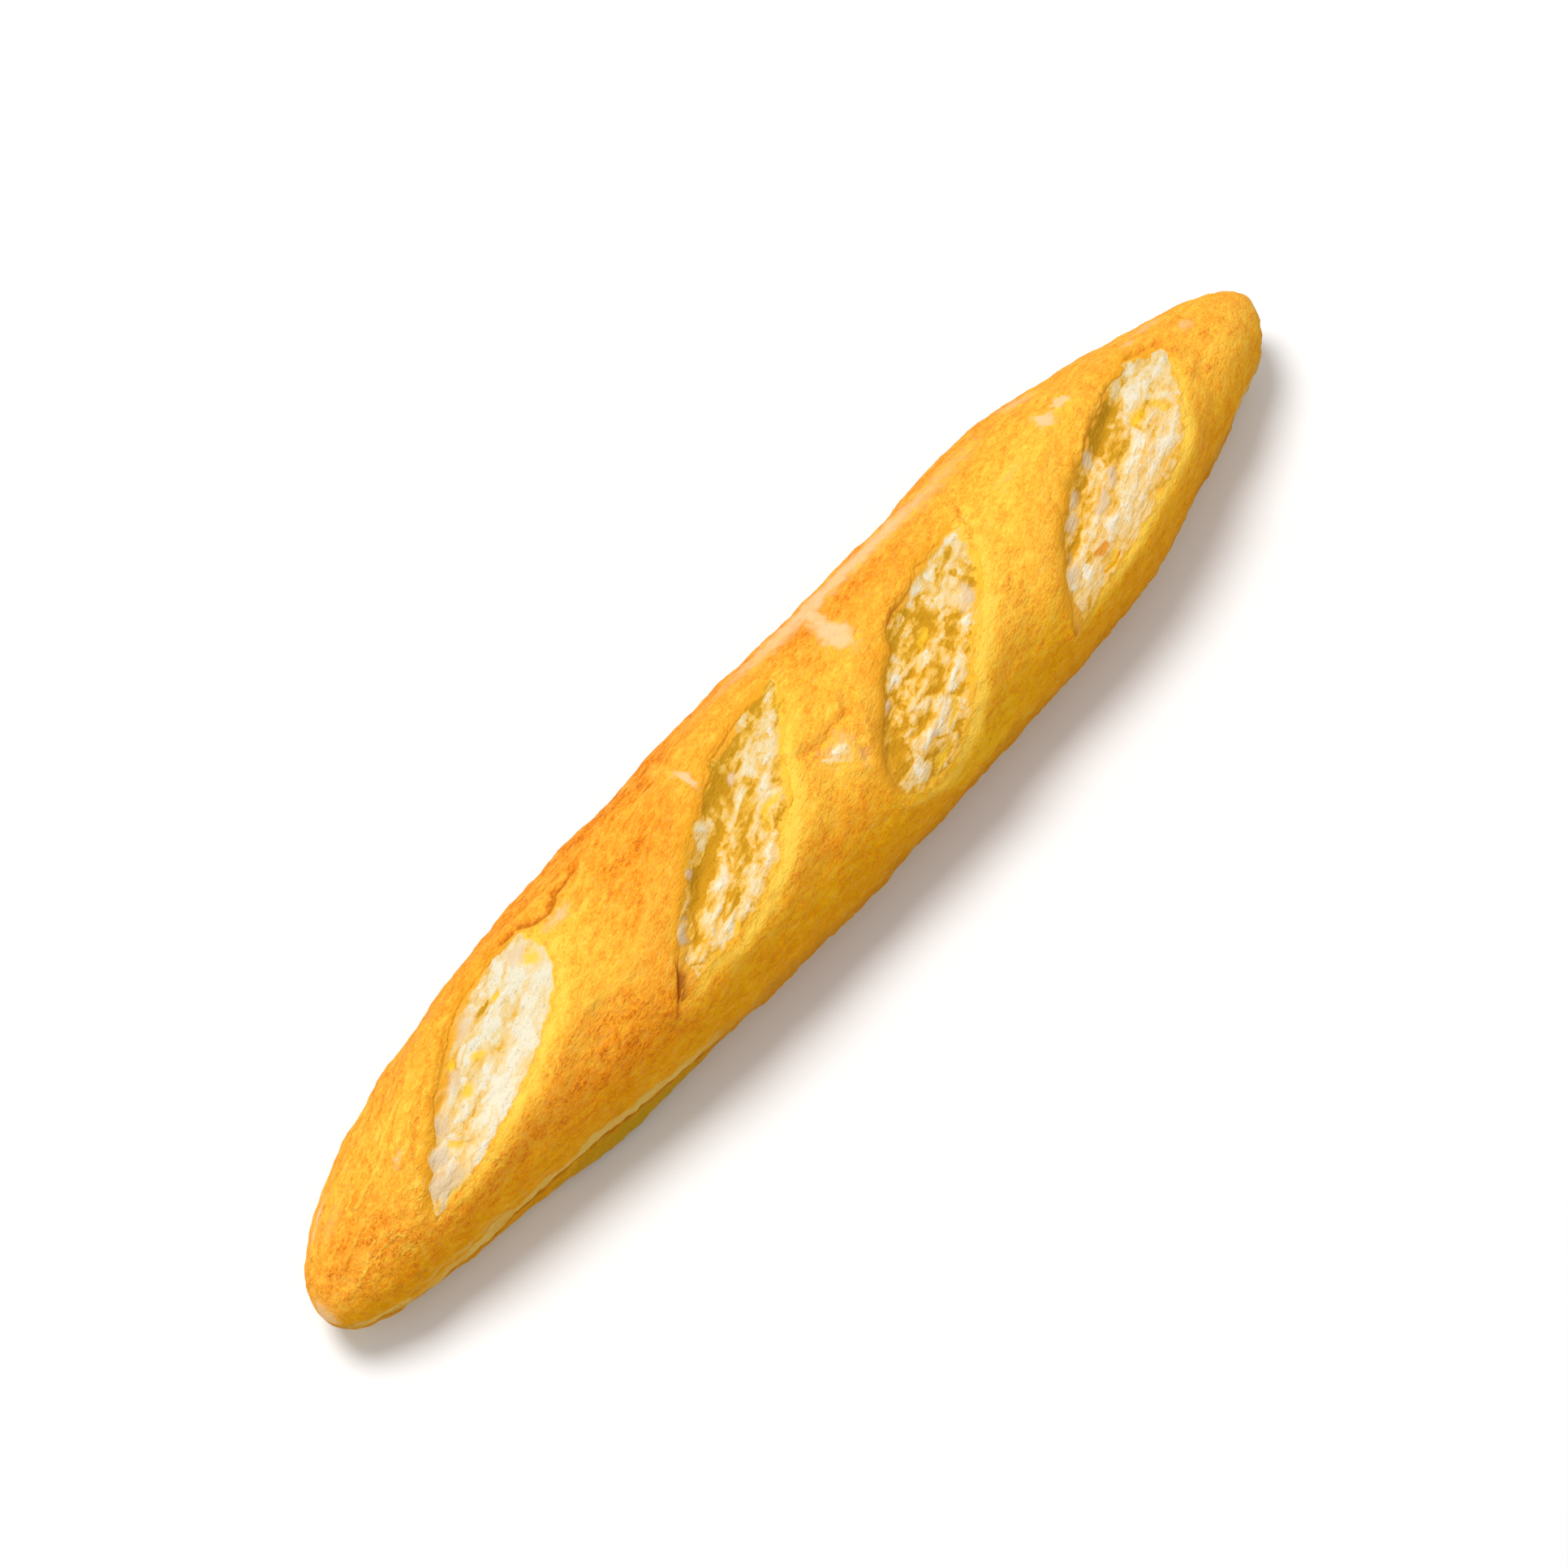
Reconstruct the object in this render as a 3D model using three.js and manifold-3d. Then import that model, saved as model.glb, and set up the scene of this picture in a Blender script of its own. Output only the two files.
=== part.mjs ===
// A small baguette, 300 mm long: one solid loaf with four slanting scores cut in its crust.
// Millimetres. +X runs along the loaf, +Z is up, and the loaf rests on z = 0.
import * as THREE from 'three';
import { mergeVertices } from 'three/addons/utils/BufferGeometryUtils.js';
import Module from 'manifold-3d';

const wasm = await Module();
wasm.setup();

// ---- driving dimensions -------------------------------------------------------------------------

const LENGTH = 300;
const WIDTH = 53;
const HEIGHT = 42;
const TIP_HEIGHT = 13; // the middle of each rounded end, above the table

// How full each end is in plan: half width = WIDTH / 2 * (1 - |u|^reach)^(1 / round). Its middle
// swings aside by aside * |u|^bend.
const PLAN = {
  minus: { reach: 2.08, round: 2.3, aside: -5, bend: 8 }, // the -X end, blunt, its tip bent to -Y
  plus: { reach: 3.2, round: 1.57, aside: 4, bend: 4 }, // the +X end, narrower and bent to +Y
};
const CROWN = { reach: 2.6, round: 2.2 };

const WIDEST = 0.44; // the widest level, as a share of the section's height
const DOME = 2.1; // superellipse power of the section above the widest level
const HEEL = 2.3; // and of the rounded corner below it
const FLAT = 0.58; // half width of the flat base, as a share of the half width
const LIFT_FROM = 0.74; // the base curls up over the last stretch of each end

const GIRTH_RADIUS = 25; // turns an angle round the section into a length on the crust

const STATIONS = 72;
const DOME_STEPS = 24;
const HEEL_STEPS = 5;
const BASE_STEPS = 2;
const CUT_STEPS = [28, 11]; // faces along and across a score
const TEAR_STEPS = [8, 5];

// Each score is a cut laid slantwise on the crust. at: its middle, along the loaf and round from the
// crown towards +Y. turn: degrees from the loaf's axis. deep: the deepest place, by the high rim.
// roll: how far the crust rolls over into the cut at the high rim.
// high and low: its two rims, from its -X end to its +X end, as places [along, across] the cut. They
// are joined by smooth curves and meet at both ends.
const SCORES = [
  {
    at: [-97.5, -0.5],
    turn: 30,
    deep: 1.7,
    roll: 2.4,
    high: [[-31, -1.4], [-25.5, 4.6], [-11, 8.8], [8, 11.4], [21, 10], [31, 2]],
    low: [[-31, -1.4], [-20, -5], [0, -8.8], [16, -10.4], [26, -7.6], [31, 2]],
  },
  {
    at: [-29, -4.5],
    turn: 28,
    deep: 3.0,
    roll: 4.8,
    high: [[-38, 1], [-26, 6], [-10, 8.3], [8, 8.4], [19, 7.2], [29, 3.8], [36.5, 0.5]],
    low: [[-38, 1], [-27, -2], [-11, -8.6], [8, -8.2], [21, -4.8], [30.5, -3.4], [36.5, 0.5]],
  },
  {
    at: [27.5, -8.5],
    turn: 31,
    deep: 2.8,
    roll: 4.2,
    high: [[-31, 0], [-24, 7.6], [-12, 10.4], [4, 11], [14, 8.2], [24, 5], [31, -0.5]],
    low: [[-31, 0], [-23, -9.6], [-12, -10.4], [4, -7], [20, -5.9], [31, -0.5]],
  },
  {
    at: [86, -11],
    turn: 27,
    deep: 2.9,
    roll: 4.8,
    high: [[-36, -1], [-27, 6.8], [-17, 11], [-6, 12], [8, 10.2], [20, 9.2], [29, 7.4], [35, -1]],
    low: [[-36, -1], [-27, -1.8], [-10, -7], [12, -12.6], [20, -9], [29, -5.2], [35, -1]],
  },
];
// The crumb stands proud of the crust by this much at a score's low rim, and falls away across the
// cut with this power of the share of the way to the high rim.
const FLOOR = { start: 0.1, power: 2 };

const LENS_POWER = 2.3; // how full a score is towards its ends
const RIM_STEPS = 60;

// The crust stands up on both sides of a score: a high lip on the +Y side, a softer ridge below.
const LIP = { rise: 2.1, out: 4.5, reach: 5.5 };
const RIDGE = { rise: 1.5, out: 4.0, reach: 5.0 };

// Stretched strands in the crumb: slanting waves along the cut and across it.
const STRANDS = { tall: 0.35, along: 9.5, slant: 0.9, across: 4.7, weave: 0.35 };

// A small tear in the crust between the second and the third score.
const TEAR = {
  at: [-2, -7.8],
  turn: 0,
  deep: 0.9,
  roll: 0.9,
  high: [[-4, 1.6], [0, 2.4], [3.8, 1.6]],
  low: [[-4, 1.6], [0.8, -3.2], [3.8, 1.6]],
};

// Gentle swells of the crust: where, how far they rise, and how far they reach along and round.
const SWELLS = [
  { at: [2, -38], rise: 0.3, reach: [36, 14] },
  { at: [78, 34], rise: 1.9, reach: [20, 15] },
  { at: [-94, -38], rise: -1.9, reach: [26, 12] },
  { at: [24, 38], rise: -1.6, reach: [32, 14] },
  { at: [-36, 36], rise: -0.8, reach: [15, 14] },
  { at: [32, -38], rise: -0.8, reach: [20, 14] },
  { at: [113, -40], rise: -2.6, reach: [18, 13] },
  { at: [126, 34], rise: -1.1, reach: [12, 16] },
  { at: [142, -38], rise: 1.3, reach: [5, 20] },
];

// Along one stretch the -Y side folds over its own base and leaves a foot below the fold.
const FOOT = { at: [-80, -53], rise: 2.0, reach: [16, 5] };
const FOLD = { at: [-84, -45.5], rise: -1.4, reach: [32, 3] };

// ---- the loaf's form ----------------------------------------------------------------------------

const HALF_TURN = Math.PI;
const QUARTER_TURN = Math.PI / 2;
const CORNER_TURN = 0.8 * Math.PI; // where the rounded corner meets the flat base
const HAIR = 1e-9; // a turn this near the corner's counts as on the base
const SAMPLE = 0.01; // how far either side of a place its slope is read, in mm and in turn
const TIP_GAP = 0.6; // slopes are read no nearer to a tip than this

const fullness = (u, { reach, round }) => Math.max(1 - Math.abs(u) ** reach, 0) ** (1 / round);
const bell = (u) => Math.exp(-u * u);

// The section at x: half width, crown and base heights, and how far its middle lies to the side.
function section(x) {
  const u = THREE.MathUtils.clamp(x / (LENGTH / 2), -1, 1);
  const end = u > 0 ? PLAN.plus : PLAN.minus;
  const curl = THREE.MathUtils.clamp((Math.abs(u) - LIFT_FROM) / (1 - LIFT_FROM), 0, 1);
  return {
    half: (WIDTH / 2) * fullness(u, end),
    crown: TIP_HEIGHT + (HEIGHT - TIP_HEIGHT) * fullness(u, CROWN),
    base: TIP_HEIGHT * (1 - Math.sqrt(1 - curl * curl)),
    aside: end.aside * Math.abs(u) ** end.bend,
  };
}

// A point of the plain loaf: turn is 0 at the crown, a quarter turn at the widest level of the +Y
// side and a half turn in the middle of the base.
function plainPoint(x, turn) {
  const { half, crown, base, aside } = section(x);
  const level = base + (crown - base) * WIDEST;
  const side = Math.sign(turn);
  const round = Math.abs(turn);
  const corner = half * FLAT;
  let y;
  let z;
  if (round <= QUARTER_TURN) {
    y = half * Math.sin(round) ** (2 / DOME);
    z = level + (crown - level) * Math.max(Math.cos(round), 0) ** (2 / DOME);
  } else if (round <= CORNER_TURN) {
    const share = ((round - QUARTER_TURN) / (CORNER_TURN - QUARTER_TURN)) * QUARTER_TURN;
    y = corner + (half - corner) * Math.max(Math.cos(share), 0) ** (2 / HEEL);
    z = level - (level - base) * Math.sin(share) ** (2 / HEEL);
  } else {
    y = corner * ((HALF_TURN - round) / (HALF_TURN - CORNER_TURN));
    z = base;
  }
  return new THREE.Vector3(x, aside + side * y, z);
}

// The outward direction of the plain loaf.
function outward(x, turn) {
  const near = LENGTH / 2 - TIP_GAP;
  const at = THREE.MathUtils.clamp(x, -near, near);
  const along = plainPoint(at + SAMPLE, turn).sub(plainPoint(at - SAMPLE, turn));
  const around = plainPoint(at, turn + SAMPLE).sub(plainPoint(at, turn - SAMPLE));
  return along.cross(around).normalize();
}

// A place on the crust in a score's own measures: s along the cut and t across it, towards +Y.
function inScore({ at, turn }, x, round) {
  const angle = THREE.MathUtils.degToRad(turn);
  const dx = x - at[0];
  const dv = round - at[1];
  return {
    s: dx * Math.cos(angle) + dv * Math.sin(angle),
    t: dv * Math.cos(angle) - dx * Math.sin(angle),
  };
}

// And back: the place along and round the loaf of a point (s, t) of a score.
function onCrust({ at, turn }, s, t) {
  const angle = THREE.MathUtils.degToRad(turn);
  return {
    x: at[0] + s * Math.cos(angle) - t * Math.sin(angle),
    round: at[1] + s * Math.sin(angle) + t * Math.cos(angle),
  };
}

// A rim as a smooth curve through its places.
const rimCurve = (places) => new THREE.SplineCurve(places.map((p) => new THREE.Vector2(...p)));

// How far across the cut a rim lies at s, or null past its ends.
function rimAt(curve, s) {
  const points = curve.getPoints(RIM_STEPS);
  for (let i = 1; i < points.length; i += 1) {
    const [from, to] = [points[i - 1], points[i]];
    if (s >= from.x && s <= to.x) {
      return THREE.MathUtils.mapLinear(s, from.x, to.x, from.y, to.y);
    }
  }
  return null;
}

// How full a score is at s: 0 at its ends and beyond, 1 in its middle.
function fullAt({ high }, s, beyond = 0) {
  const start = high[0][0] - beyond;
  const finish = high[high.length - 1][0] + beyond;
  const u = (2 * (s - start)) / (finish - start) - 1;
  return Math.max(1 - Math.abs(u) ** LENS_POWER, 0);
}

// How far the crust stands off the plain loaf.
function rise(x, turn) {
  const round = turn * GIRTH_RADIUS;
  let height = 0;
  for (const { at, rise: tall, reach } of [...SWELLS, FOOT, FOLD]) {
    height += tall * bell((x - at[0]) / reach[0]) * bell((round - at[1]) / reach[1]);
  }
  for (const score of SCORES) {
    const { s, t } = inScore(score, x, round);
    const along = fullAt(score, s, LIP.reach);
    if (along > 0) {
      const ends = score.high.length - 1;
      const inside = THREE.MathUtils.clamp(s, score.high[0][0], score.high[ends][0]);
      const lipAt = rimAt(score.highRim, inside) + LIP.out;
      const ridgeAt = rimAt(score.lowRim, inside) - RIDGE.out;
      height += LIP.rise * along * bell((t - lipAt) / LIP.reach);
      height += RIDGE.rise * along * bell((t - ridgeAt) / RIDGE.reach);
    }
  }
  return height;
}

// The crust itself, with h measured outwards from it.
function crustPoint(x, turn, h = 0) {
  const onBase = Math.abs(turn) > CORNER_TURN - HAIR;
  const lift = onBase ? h : rise(x, turn) + h;
  const point = plainPoint(x, turn).addScaledVector(outward(x, turn), lift);
  point.z = Math.max(point.z, section(x).base);
  return point;
}

// ---- closed meshes ------------------------------------------------------------------------------

const SAME_POINT = 1e-4; // points nearer than this are one

// A solid for joining and cutting from triangles over a list of points.
function solidOf(points, triangles) {
  const geometry = new THREE.BufferGeometry().setFromPoints(points);
  geometry.setIndex(triangles);
  const merged = mergeVertices(geometry, SAME_POINT);
  const index = Array.from(merged.index.array);
  const kept = [];
  for (let i = 0; i < index.length; i += 3) {
    const [a, b, c] = index.slice(i, i + 3);
    if (a !== b && b !== c && c !== a) kept.push(a, b, c);
  }
  const mesh = new wasm.Mesh({
    numProp: 3,
    vertProperties: new Float32Array(merged.attributes.position.array),
    triVerts: new Uint32Array(kept),
  });
  return new wasm.Manifold(mesh);
}

// The turns round a section at which it has points, evenly spread over dome, corners and base.
function sectionTurns() {
  const turns = [];
  const spread = (from, to, steps) => {
    for (let i = 0; i < steps; i += 1) turns.push(from + ((to - from) * i) / steps);
  };
  spread(-HALF_TURN, -CORNER_TURN, BASE_STEPS);
  spread(-CORNER_TURN, -QUARTER_TURN, HEEL_STEPS);
  spread(-QUARTER_TURN, QUARTER_TURN, DOME_STEPS);
  spread(QUARTER_TURN, CORNER_TURN, HEEL_STEPS);
  spread(CORNER_TURN, HALF_TURN, BASE_STEPS);
  return turns;
}

// The whole loaf: rings of points along X, closed by one point at each end.
function loafSolid() {
  const turns = sectionTurns();
  const round = turns.length;
  const points = [];
  for (let i = 1; i < STATIONS; i += 1) {
    const x = (-LENGTH / 2) * Math.cos((HALF_TURN * i) / STATIONS);
    for (const turn of turns) points.push(crustPoint(x, turn));
  }
  const start = points.push(plainPoint(-LENGTH / 2, 0)) - 1;
  const finish = points.push(plainPoint(LENGTH / 2, 0)) - 1;
  const triangles = [];
  for (let i = 0; i < STATIONS - 2; i += 1) {
    for (let j = 0; j < round; j += 1) {
      const a = i * round + j;
      const b = i * round + ((j + 1) % round);
      triangles.push(a, b + round, b, a, a + round, b + round);
    }
  }
  const last = (STATIONS - 2) * round;
  for (let j = 0; j < round; j += 1) {
    const next = (j + 1) % round;
    triangles.push(start, j, next, finish, last + next, last + j);
  }
  return solidOf(points, triangles);
}

// A slab over a patch of crust between two surfaces. Each is a function of the shares i and j,
// along and across, that gives a point.
function slabSolid(steps, upper, lower) {
  const [along, across] = steps;
  const width = across + 1;
  const points = [];
  for (const surface of [upper, lower]) {
    for (let i = 0; i <= along; i += 1) {
      for (let j = 0; j <= across; j += 1) points.push(surface(i / along, j / across));
    }
  }
  const below = (along + 1) * width;
  const triangles = [];
  const wall = (a, b) => triangles.push(a, a + below, b + below, a, b + below, b);
  for (let i = 0; i < along; i += 1) {
    for (let j = 0; j < across; j += 1) {
      const a = i * width + j;
      triangles.push(a, a + width, a + width + 1, a, a + width + 1, a + 1);
      const b = a + below;
      triangles.push(b, b + width + 1, b + width, b, b + 1, b + width + 1);
    }
    wall(i * width, (i + 1) * width);
    wall((i + 1) * width + across, i * width + across);
  }
  for (let j = 0; j < across; j += 1) {
    wall(j + 1, j);
    wall(along * width + j, along * width + j + 1);
  }
  return solidOf(points, triangles);
}

const crustAt = (score, s, t, h) => {
  const { x, round } = onCrust(score, s, t);
  return crustPoint(x, round / GIRTH_RADIUS, h);
};

// The place at the shares i along and j across a score, from its low rim to its high rim. At its
// ends the rims stay a hair apart, so that no face is flat.
function placeIn(score, i, j) {
  const hair = 0.25;
  const inset = 0.004;
  const share = THREE.MathUtils.lerp(inset, 1 - inset, i);
  const low = score.lowRim.getPoint(share);
  const high = score.highRim.getPoint(share);
  const s = THREE.MathUtils.lerp(low.x, high.x, j);
  const t = THREE.MathUtils.lerp(low.y - hair, high.y + hair, j);
  return { s, t };
}

// The cut itself: level with the crust along its low rim, deepest near its high rim, where the crust
// rolls over into it, and with the crumb's strands on its floor.
function cutSolid(score, steps) {
  const sky = 9;
  const floor = (i, j) => {
    const { s, t } = placeIn(score, i, j);
    const full = Math.sqrt(fullAt(score, s));
    const wall = THREE.MathUtils.smoothstep(rimAt(score.highRim, s) - t, 0, score.roll);
    const depth = score.deep * j ** FLOOR.power * full * wall;
    const inside = Math.sin(HALF_TURN * j) * full;
    const strands = Math.sin((2 * HALF_TURN * s) / STRANDS.along + STRANDS.slant * t)
      + Math.sin((2 * HALF_TURN * t) / STRANDS.across - STRANDS.weave * s);
    return crustAt(score, s, t, FLOOR.start - depth + STRANDS.tall * inside * strands);
  };
  const top = (i, j) => {
    const { s, t } = placeIn(score, i, j);
    return crustAt(score, s, t, sky);
  };
  return slabSolid(steps, top, floor);
}

// ---- the loaf -----------------------------------------------------------------------------------

for (const score of [...SCORES, TEAR]) {
  score.highRim = rimCurve(score.high);
  score.lowRim = rimCurve(score.low);
}

let loaf = loafSolid();
for (const score of SCORES) loaf = loaf.subtract(cutSolid(score, CUT_STEPS));
loaf = loaf.subtract(cutSolid(TEAR, TEAR_STEPS));

const { vertProperties, triVerts } = loaf.getMesh();
const geometry = new THREE.BufferGeometry();
geometry.setAttribute('position', new THREE.BufferAttribute(vertProperties, 3));
geometry.setIndex(new THREE.BufferAttribute(triVerts, 1));

// The origin is under the middle of the loaf's box, on the table.
geometry.computeBoundingBox();
const middle = geometry.boundingBox.getCenter(new THREE.Vector3());
geometry.translate(-middle.x, -middle.y, -geometry.boundingBox.min.z);
geometry.computeVertexNormals();

const crust = new THREE.MeshStandardMaterial({ color: 0xeeaa3c, roughness: 0.62, metalness: 0 });
const bread = new THREE.Mesh(geometry, crust);
bread.name = 'loaf';

const baguette = new THREE.Group();
baguette.add(bread);

export default baguette;
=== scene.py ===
"""A small baguette: browned crust, four slanting scores full of torn crumb, and a plain stage."""

import math

import bpy
import numpy as np
from bpy.props import FloatProperty, FloatVectorProperty, IntProperty, PointerProperty
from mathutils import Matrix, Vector, noise


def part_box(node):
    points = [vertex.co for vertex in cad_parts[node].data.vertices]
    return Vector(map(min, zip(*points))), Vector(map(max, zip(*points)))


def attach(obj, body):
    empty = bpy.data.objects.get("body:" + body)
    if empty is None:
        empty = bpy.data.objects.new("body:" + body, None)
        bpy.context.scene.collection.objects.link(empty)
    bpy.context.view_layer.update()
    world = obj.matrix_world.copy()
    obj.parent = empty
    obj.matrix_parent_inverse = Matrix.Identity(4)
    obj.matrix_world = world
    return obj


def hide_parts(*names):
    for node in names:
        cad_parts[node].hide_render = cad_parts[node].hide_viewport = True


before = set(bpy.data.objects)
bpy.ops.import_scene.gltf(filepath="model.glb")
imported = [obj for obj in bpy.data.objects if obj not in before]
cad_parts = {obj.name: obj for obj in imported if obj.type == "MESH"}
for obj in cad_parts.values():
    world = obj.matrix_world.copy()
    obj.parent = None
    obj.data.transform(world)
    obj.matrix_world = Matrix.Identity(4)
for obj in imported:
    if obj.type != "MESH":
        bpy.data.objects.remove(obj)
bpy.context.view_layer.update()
LOAF_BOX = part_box("loaf")

bl_info = {
    "name": "Baguette",
    "version": (1, 0, 0),
    "blender": (4, 5, 0),
    "location": "View3D > Sidebar > Baguette",
    "description": "Models a small scored baguette and the stage it lies on",
    "category": "Add Mesh",
}

MM = 0.001  # the loaf's measures are in millimetres, Blender's in metres
SEAM = 0.02 * MM  # points closer than this are one
HALF_TURN = math.pi
QUARTER_TURN = math.pi / 2


def srgb(red, green, blue):
    """A colour read as 0 to 255 values, as the linear values that Blender's shaders take."""
    def linear(value):
        value /= 255
        return value / 12.92 if value <= 0.04045 else ((value + 0.055) / 1.055) ** 2.4
    return tuple(linear(value) for value in (red, green, blue))


# ---- the loaf's form, in millimetres ----

LENGTH = 300.0
WIDTH = 53.0
HEIGHT = 42.0
TIP_HEIGHT = 13.0  # how high the tips lie
# The ends in plan: how far the width holds, how round they are, how far they bend aside, how late.
PLAN_MINUS = (2.08, 2.3, -5.0, 8)
PLAN_PLUS = (3.2, 1.57, 4.0, 4)
CROWN = (2.6, 2.2)  # how far the crown holds its height, and how round it comes down
WIDEST = 0.44  # where a section is widest, as a share of its height
DOME = 2.1  # how square a section is above its widest place, where 2 is round
HEEL = 2.3  # and below it
FLAT = 0.58  # how much of the width rests flat
LIFT_FROM = 0.74  # where the base starts to lift, as a share of half the length
GIRTH_RADIUS = 25.0  # makes a turn round the loaf a measure in millimetres
CORNER_TURN = 0.8 * math.pi  # the turn at which the heel meets the base
TIP_CAP = 0.6  # the last stretch of a tip, which faces as its rim does

LIP = dict(rise=2.1, out=4.5, reach=5.5)  # the swell of the crust along a high rim
RIDGE = dict(rise=1.5, out=4.0, reach=5.0)  # and along a low rim
EAR = dict(over=1.0, root=4.2, under=1.4, rise=0.6)  # how a lip leans over its crease
FLOOR = dict(start=0.1, power=2.0)  # the crumb's height at the low rim, and how it falls from there
SCORE_POWER = 2.3  # how blunt a score's ends are
RIM_POINTS = 241  # points of a rim's curve
POCKET = 2.0  # how far the open scores go down below the crumb
ROLL = dict(inset=1.8, above=0.12)  # how far in, and above the crumb, the crust rolls into a score
END_FADE = 1.5  # how soon what a rim does to the crust fades past a score's ends

# Gentle swells of the crust: (along, round), rise, (reach along, reach round).
SWELLS = (
    ((2, -38), 0.3, (36, 14)),
    ((78, 34), 1.9, (20, 15)),
    ((-94, -38), -1.9, (26, 12)),
    ((24, 38), -1.6, (32, 14)),
    ((-36, 36), -0.8, (15, 14)),
    ((32, -38), -0.8, (20, 14)),
    ((113, -40), -2.6, (18, 13)),
    ((126, 34), -1.1, (12, 16)),
    ((142, -38), 1.3, (5, 20)),
    ((-80, -53), 2.0, (16, 5)),
    ((-84, -45.5), -1.4, (32, 3)),
)

# Folds in the crust: places (along, round), half width, rise, how much darker (painted shade in
# a groove) and how much paler (painted highlight on a ridge).
FOLDS = (
    (((-75, 18.4), (-70.5, 17.1), (-67.7, 13.9), (-64.3, 13.2), (-60, 16), (-54, 16.5)),
     0.9, -1.0, 0.9, 0),
    (((-69, 18.3), (-64, 17)), 1.8, 0.8, 0, 0.5),
    (((-54, 16.5), (-49.5, 18)), 0.7, -0.3, 0.5, 0),
    (((-8, -3.6), (-2.4, -4.5), (4.9, -3.8), (9.3, -1.6)), 0.7, -0.5, 0.5, 0),
    (((-9, -1.4), (-2, -2.4), (5, -1.6), (10, 1.4)), 1.4, 0.8, 0, 0.3),
    (((7.4, -1.6), (4.6, -5.2), (2.6, -9), (1.8, -12.4)), 1.3, -0.9, 0.45, 0),
    (((12.4, 0.4), (8.2, -4), (5.6, -8)), 1.4, 0.6, 0, 0.35),
    (((-96.5, 15.2), (-104.9, 9.2), (-113.1, 3.6), (-118.9, -2.2)), 0.8, -0.35, 0.45, 0),
    (((-139.9, -2.1), (-134.5, 0.2), (-127.1, -1.8)), 0.8, 0.15, 0, 0.5),
    (((-143.1, -13.8), (-136.6, -8.7), (-131.3, -7.7)), 0.9, 0.15, 0, 0.5),
    (((-74.4, -7.7), (-65.5, -8.4), (-57.4, -5.4), (-49.8, -1.1)), 1.6, 0.5, 0, 0.55),
    (((65.5, 2.5), (60.6, -4.6), (58, -7.7)), 1.5, 0.3, 0, 0.5),
    (((99.4, 10.4), (98.7, 4.9)), 0.5, -0.3, 0.5, 0),
    (((-120.9, 7.9), (-115.7, 9.9), (-111.6, 11.2)), 0.9, 0.4, 0, 0.8),
    (((-132.5, 4.5), (-124.9, 5.1), (-119.8, 6.5)), 0.9, 0.4, 0, 0.6),
    (((-141.2, -2.5), (-133.8, 2.5), (-128.8, 4.5)), 0.8, 0.3, 0, 0.4),
    (((-143.9, -19), (-136.2, -10.2), (-127.6, -3.1)), 0.9, -0.15, 0.15, 0),
    (((-145.4, -10.2), (-138.7, -1.9)), 0.8, -0.15, 0.2, 0),
    (((109.5, 8.4), (114, 7.4), (118.7, 5.9)), 0.8, -0.6, 0.5, 0),
    (((110, 9.4), (117, 7.6), (123, 8.6)), 1.1, 0.4, 0, 0.3),
    (((45, -5.6), (49.8, -1.2), (54.3, 4.5), (57.3, 9.7)), 0.8, -0.5, 0.55, 0),
    (((-16, -7), (-10.5, -0.4), (-4.2, 4.1)), 1.0, -0.4, 0.3, 0),
    (((-33, 16.7), (-30.4, 16.4)), 0.6, -0.3, 0.8, 0),
    (((-43.8, -24.7), (-36, -25.4), (-29.2, -24.2)), 1.2, -0.3, 0.3, 0),
)

# Patches of flour left on the crust: place (along, round), half sizes, how thick.
FLOUR = (
    ((19.4, 18.6), (1.2, 4.5), 0.9), ((17.4, 8.6), (2.3, 4.6), 1.15),
    ((18.6, 13.6), (1.5, 3), 0.9), ((85.8, 10.8), (1.7, 2.7), 1.4),
    ((91.6, 10.9), (1.6, 1.6), 1.4), ((88.9, 24.1), (4.5, 2.4), 0.6),
    ((70.2, 6.8), (3.6, 1.8), 0.35), ((127.5, 5.8), (2.0, 2.2), 0.6),
    ((115.5, 13.7), (2.2, 1.2), 0.6), ((122.8, 17), (4.5, 2.4), 0.5),
    ((-120, 1.5), (2.2, 0.9), 0.8), ((-64.6, 10.4), (3.2, 1.5), 0.75),
    ((-26.4, 9.2), (1.1, 2.4), 1.3), ((-1.4, -7.6), (3.8, 2.5), 0.62),
    ((1.6, -11.4), (1.8, 2.6), 0.45), ((30, 21.5), (34, 3.6), 0.8), ((50, 20), (16, 3.2), 0.45),
    ((-97, 20), (10, 2.4), 0.2), ((-136, 12), (5, 3), 0.3), ((-138, 23.5), (4, 2), 0.9),
)

# Places (along, round), reach and how much more (orange) or less (yellow) the crust is baked.
BAKING = (
    ((-43, 7.5), (14, 6), 0.3), ((-54, -1), (9, 6), 0.2), ((-35, 23), (38, 9), 0.2),
    ((18, 15), (16, 8), 0.18), ((-60, 34), (80, 15), 0.25), ((70, 34), (70, 15), 0.24),
    ((-86, -18), (32, 9), 0.26), ((-62, -14), (16, 7), 0.16), ((-74, -26), (12, 8), 0.16),
    ((-12, -19), (16, 4.5), 0.2), ((-140, -6), (14, 16), 0.26), ((-124, -22), (22, 10), 0.14),
    ((-64, 2), (9, 7), -0.14), ((60, 4), (14, 12), -0.1), ((106, 13), (16, 6), 0.12),
    ((118, 2), (10, 6), 0.12), ((36, 12), (16, 5), 0.2), ((-1, 6), (12, 5), 0.1),
    # The entry at (26, -34) makes a patch low on the flank yellower: painted highlight on the swell
    # there.
    ((-96, 20), (34, 6), 0.14), ((26, -34), (18, 8), -0.28), ((90, 8), (18, 10), -0.1),
)


def bell(u):
    """1 at 0, fading to 0 within about 2 either way."""
    return np.exp(-u * u)


def smooth(start, stop, value):
    """0 up to start and 1 from stop on, with a soft step in between."""
    share = np.clip((value - start) / (stop - start), 0, 1)
    return share * share * (3 - 2 * share)


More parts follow.
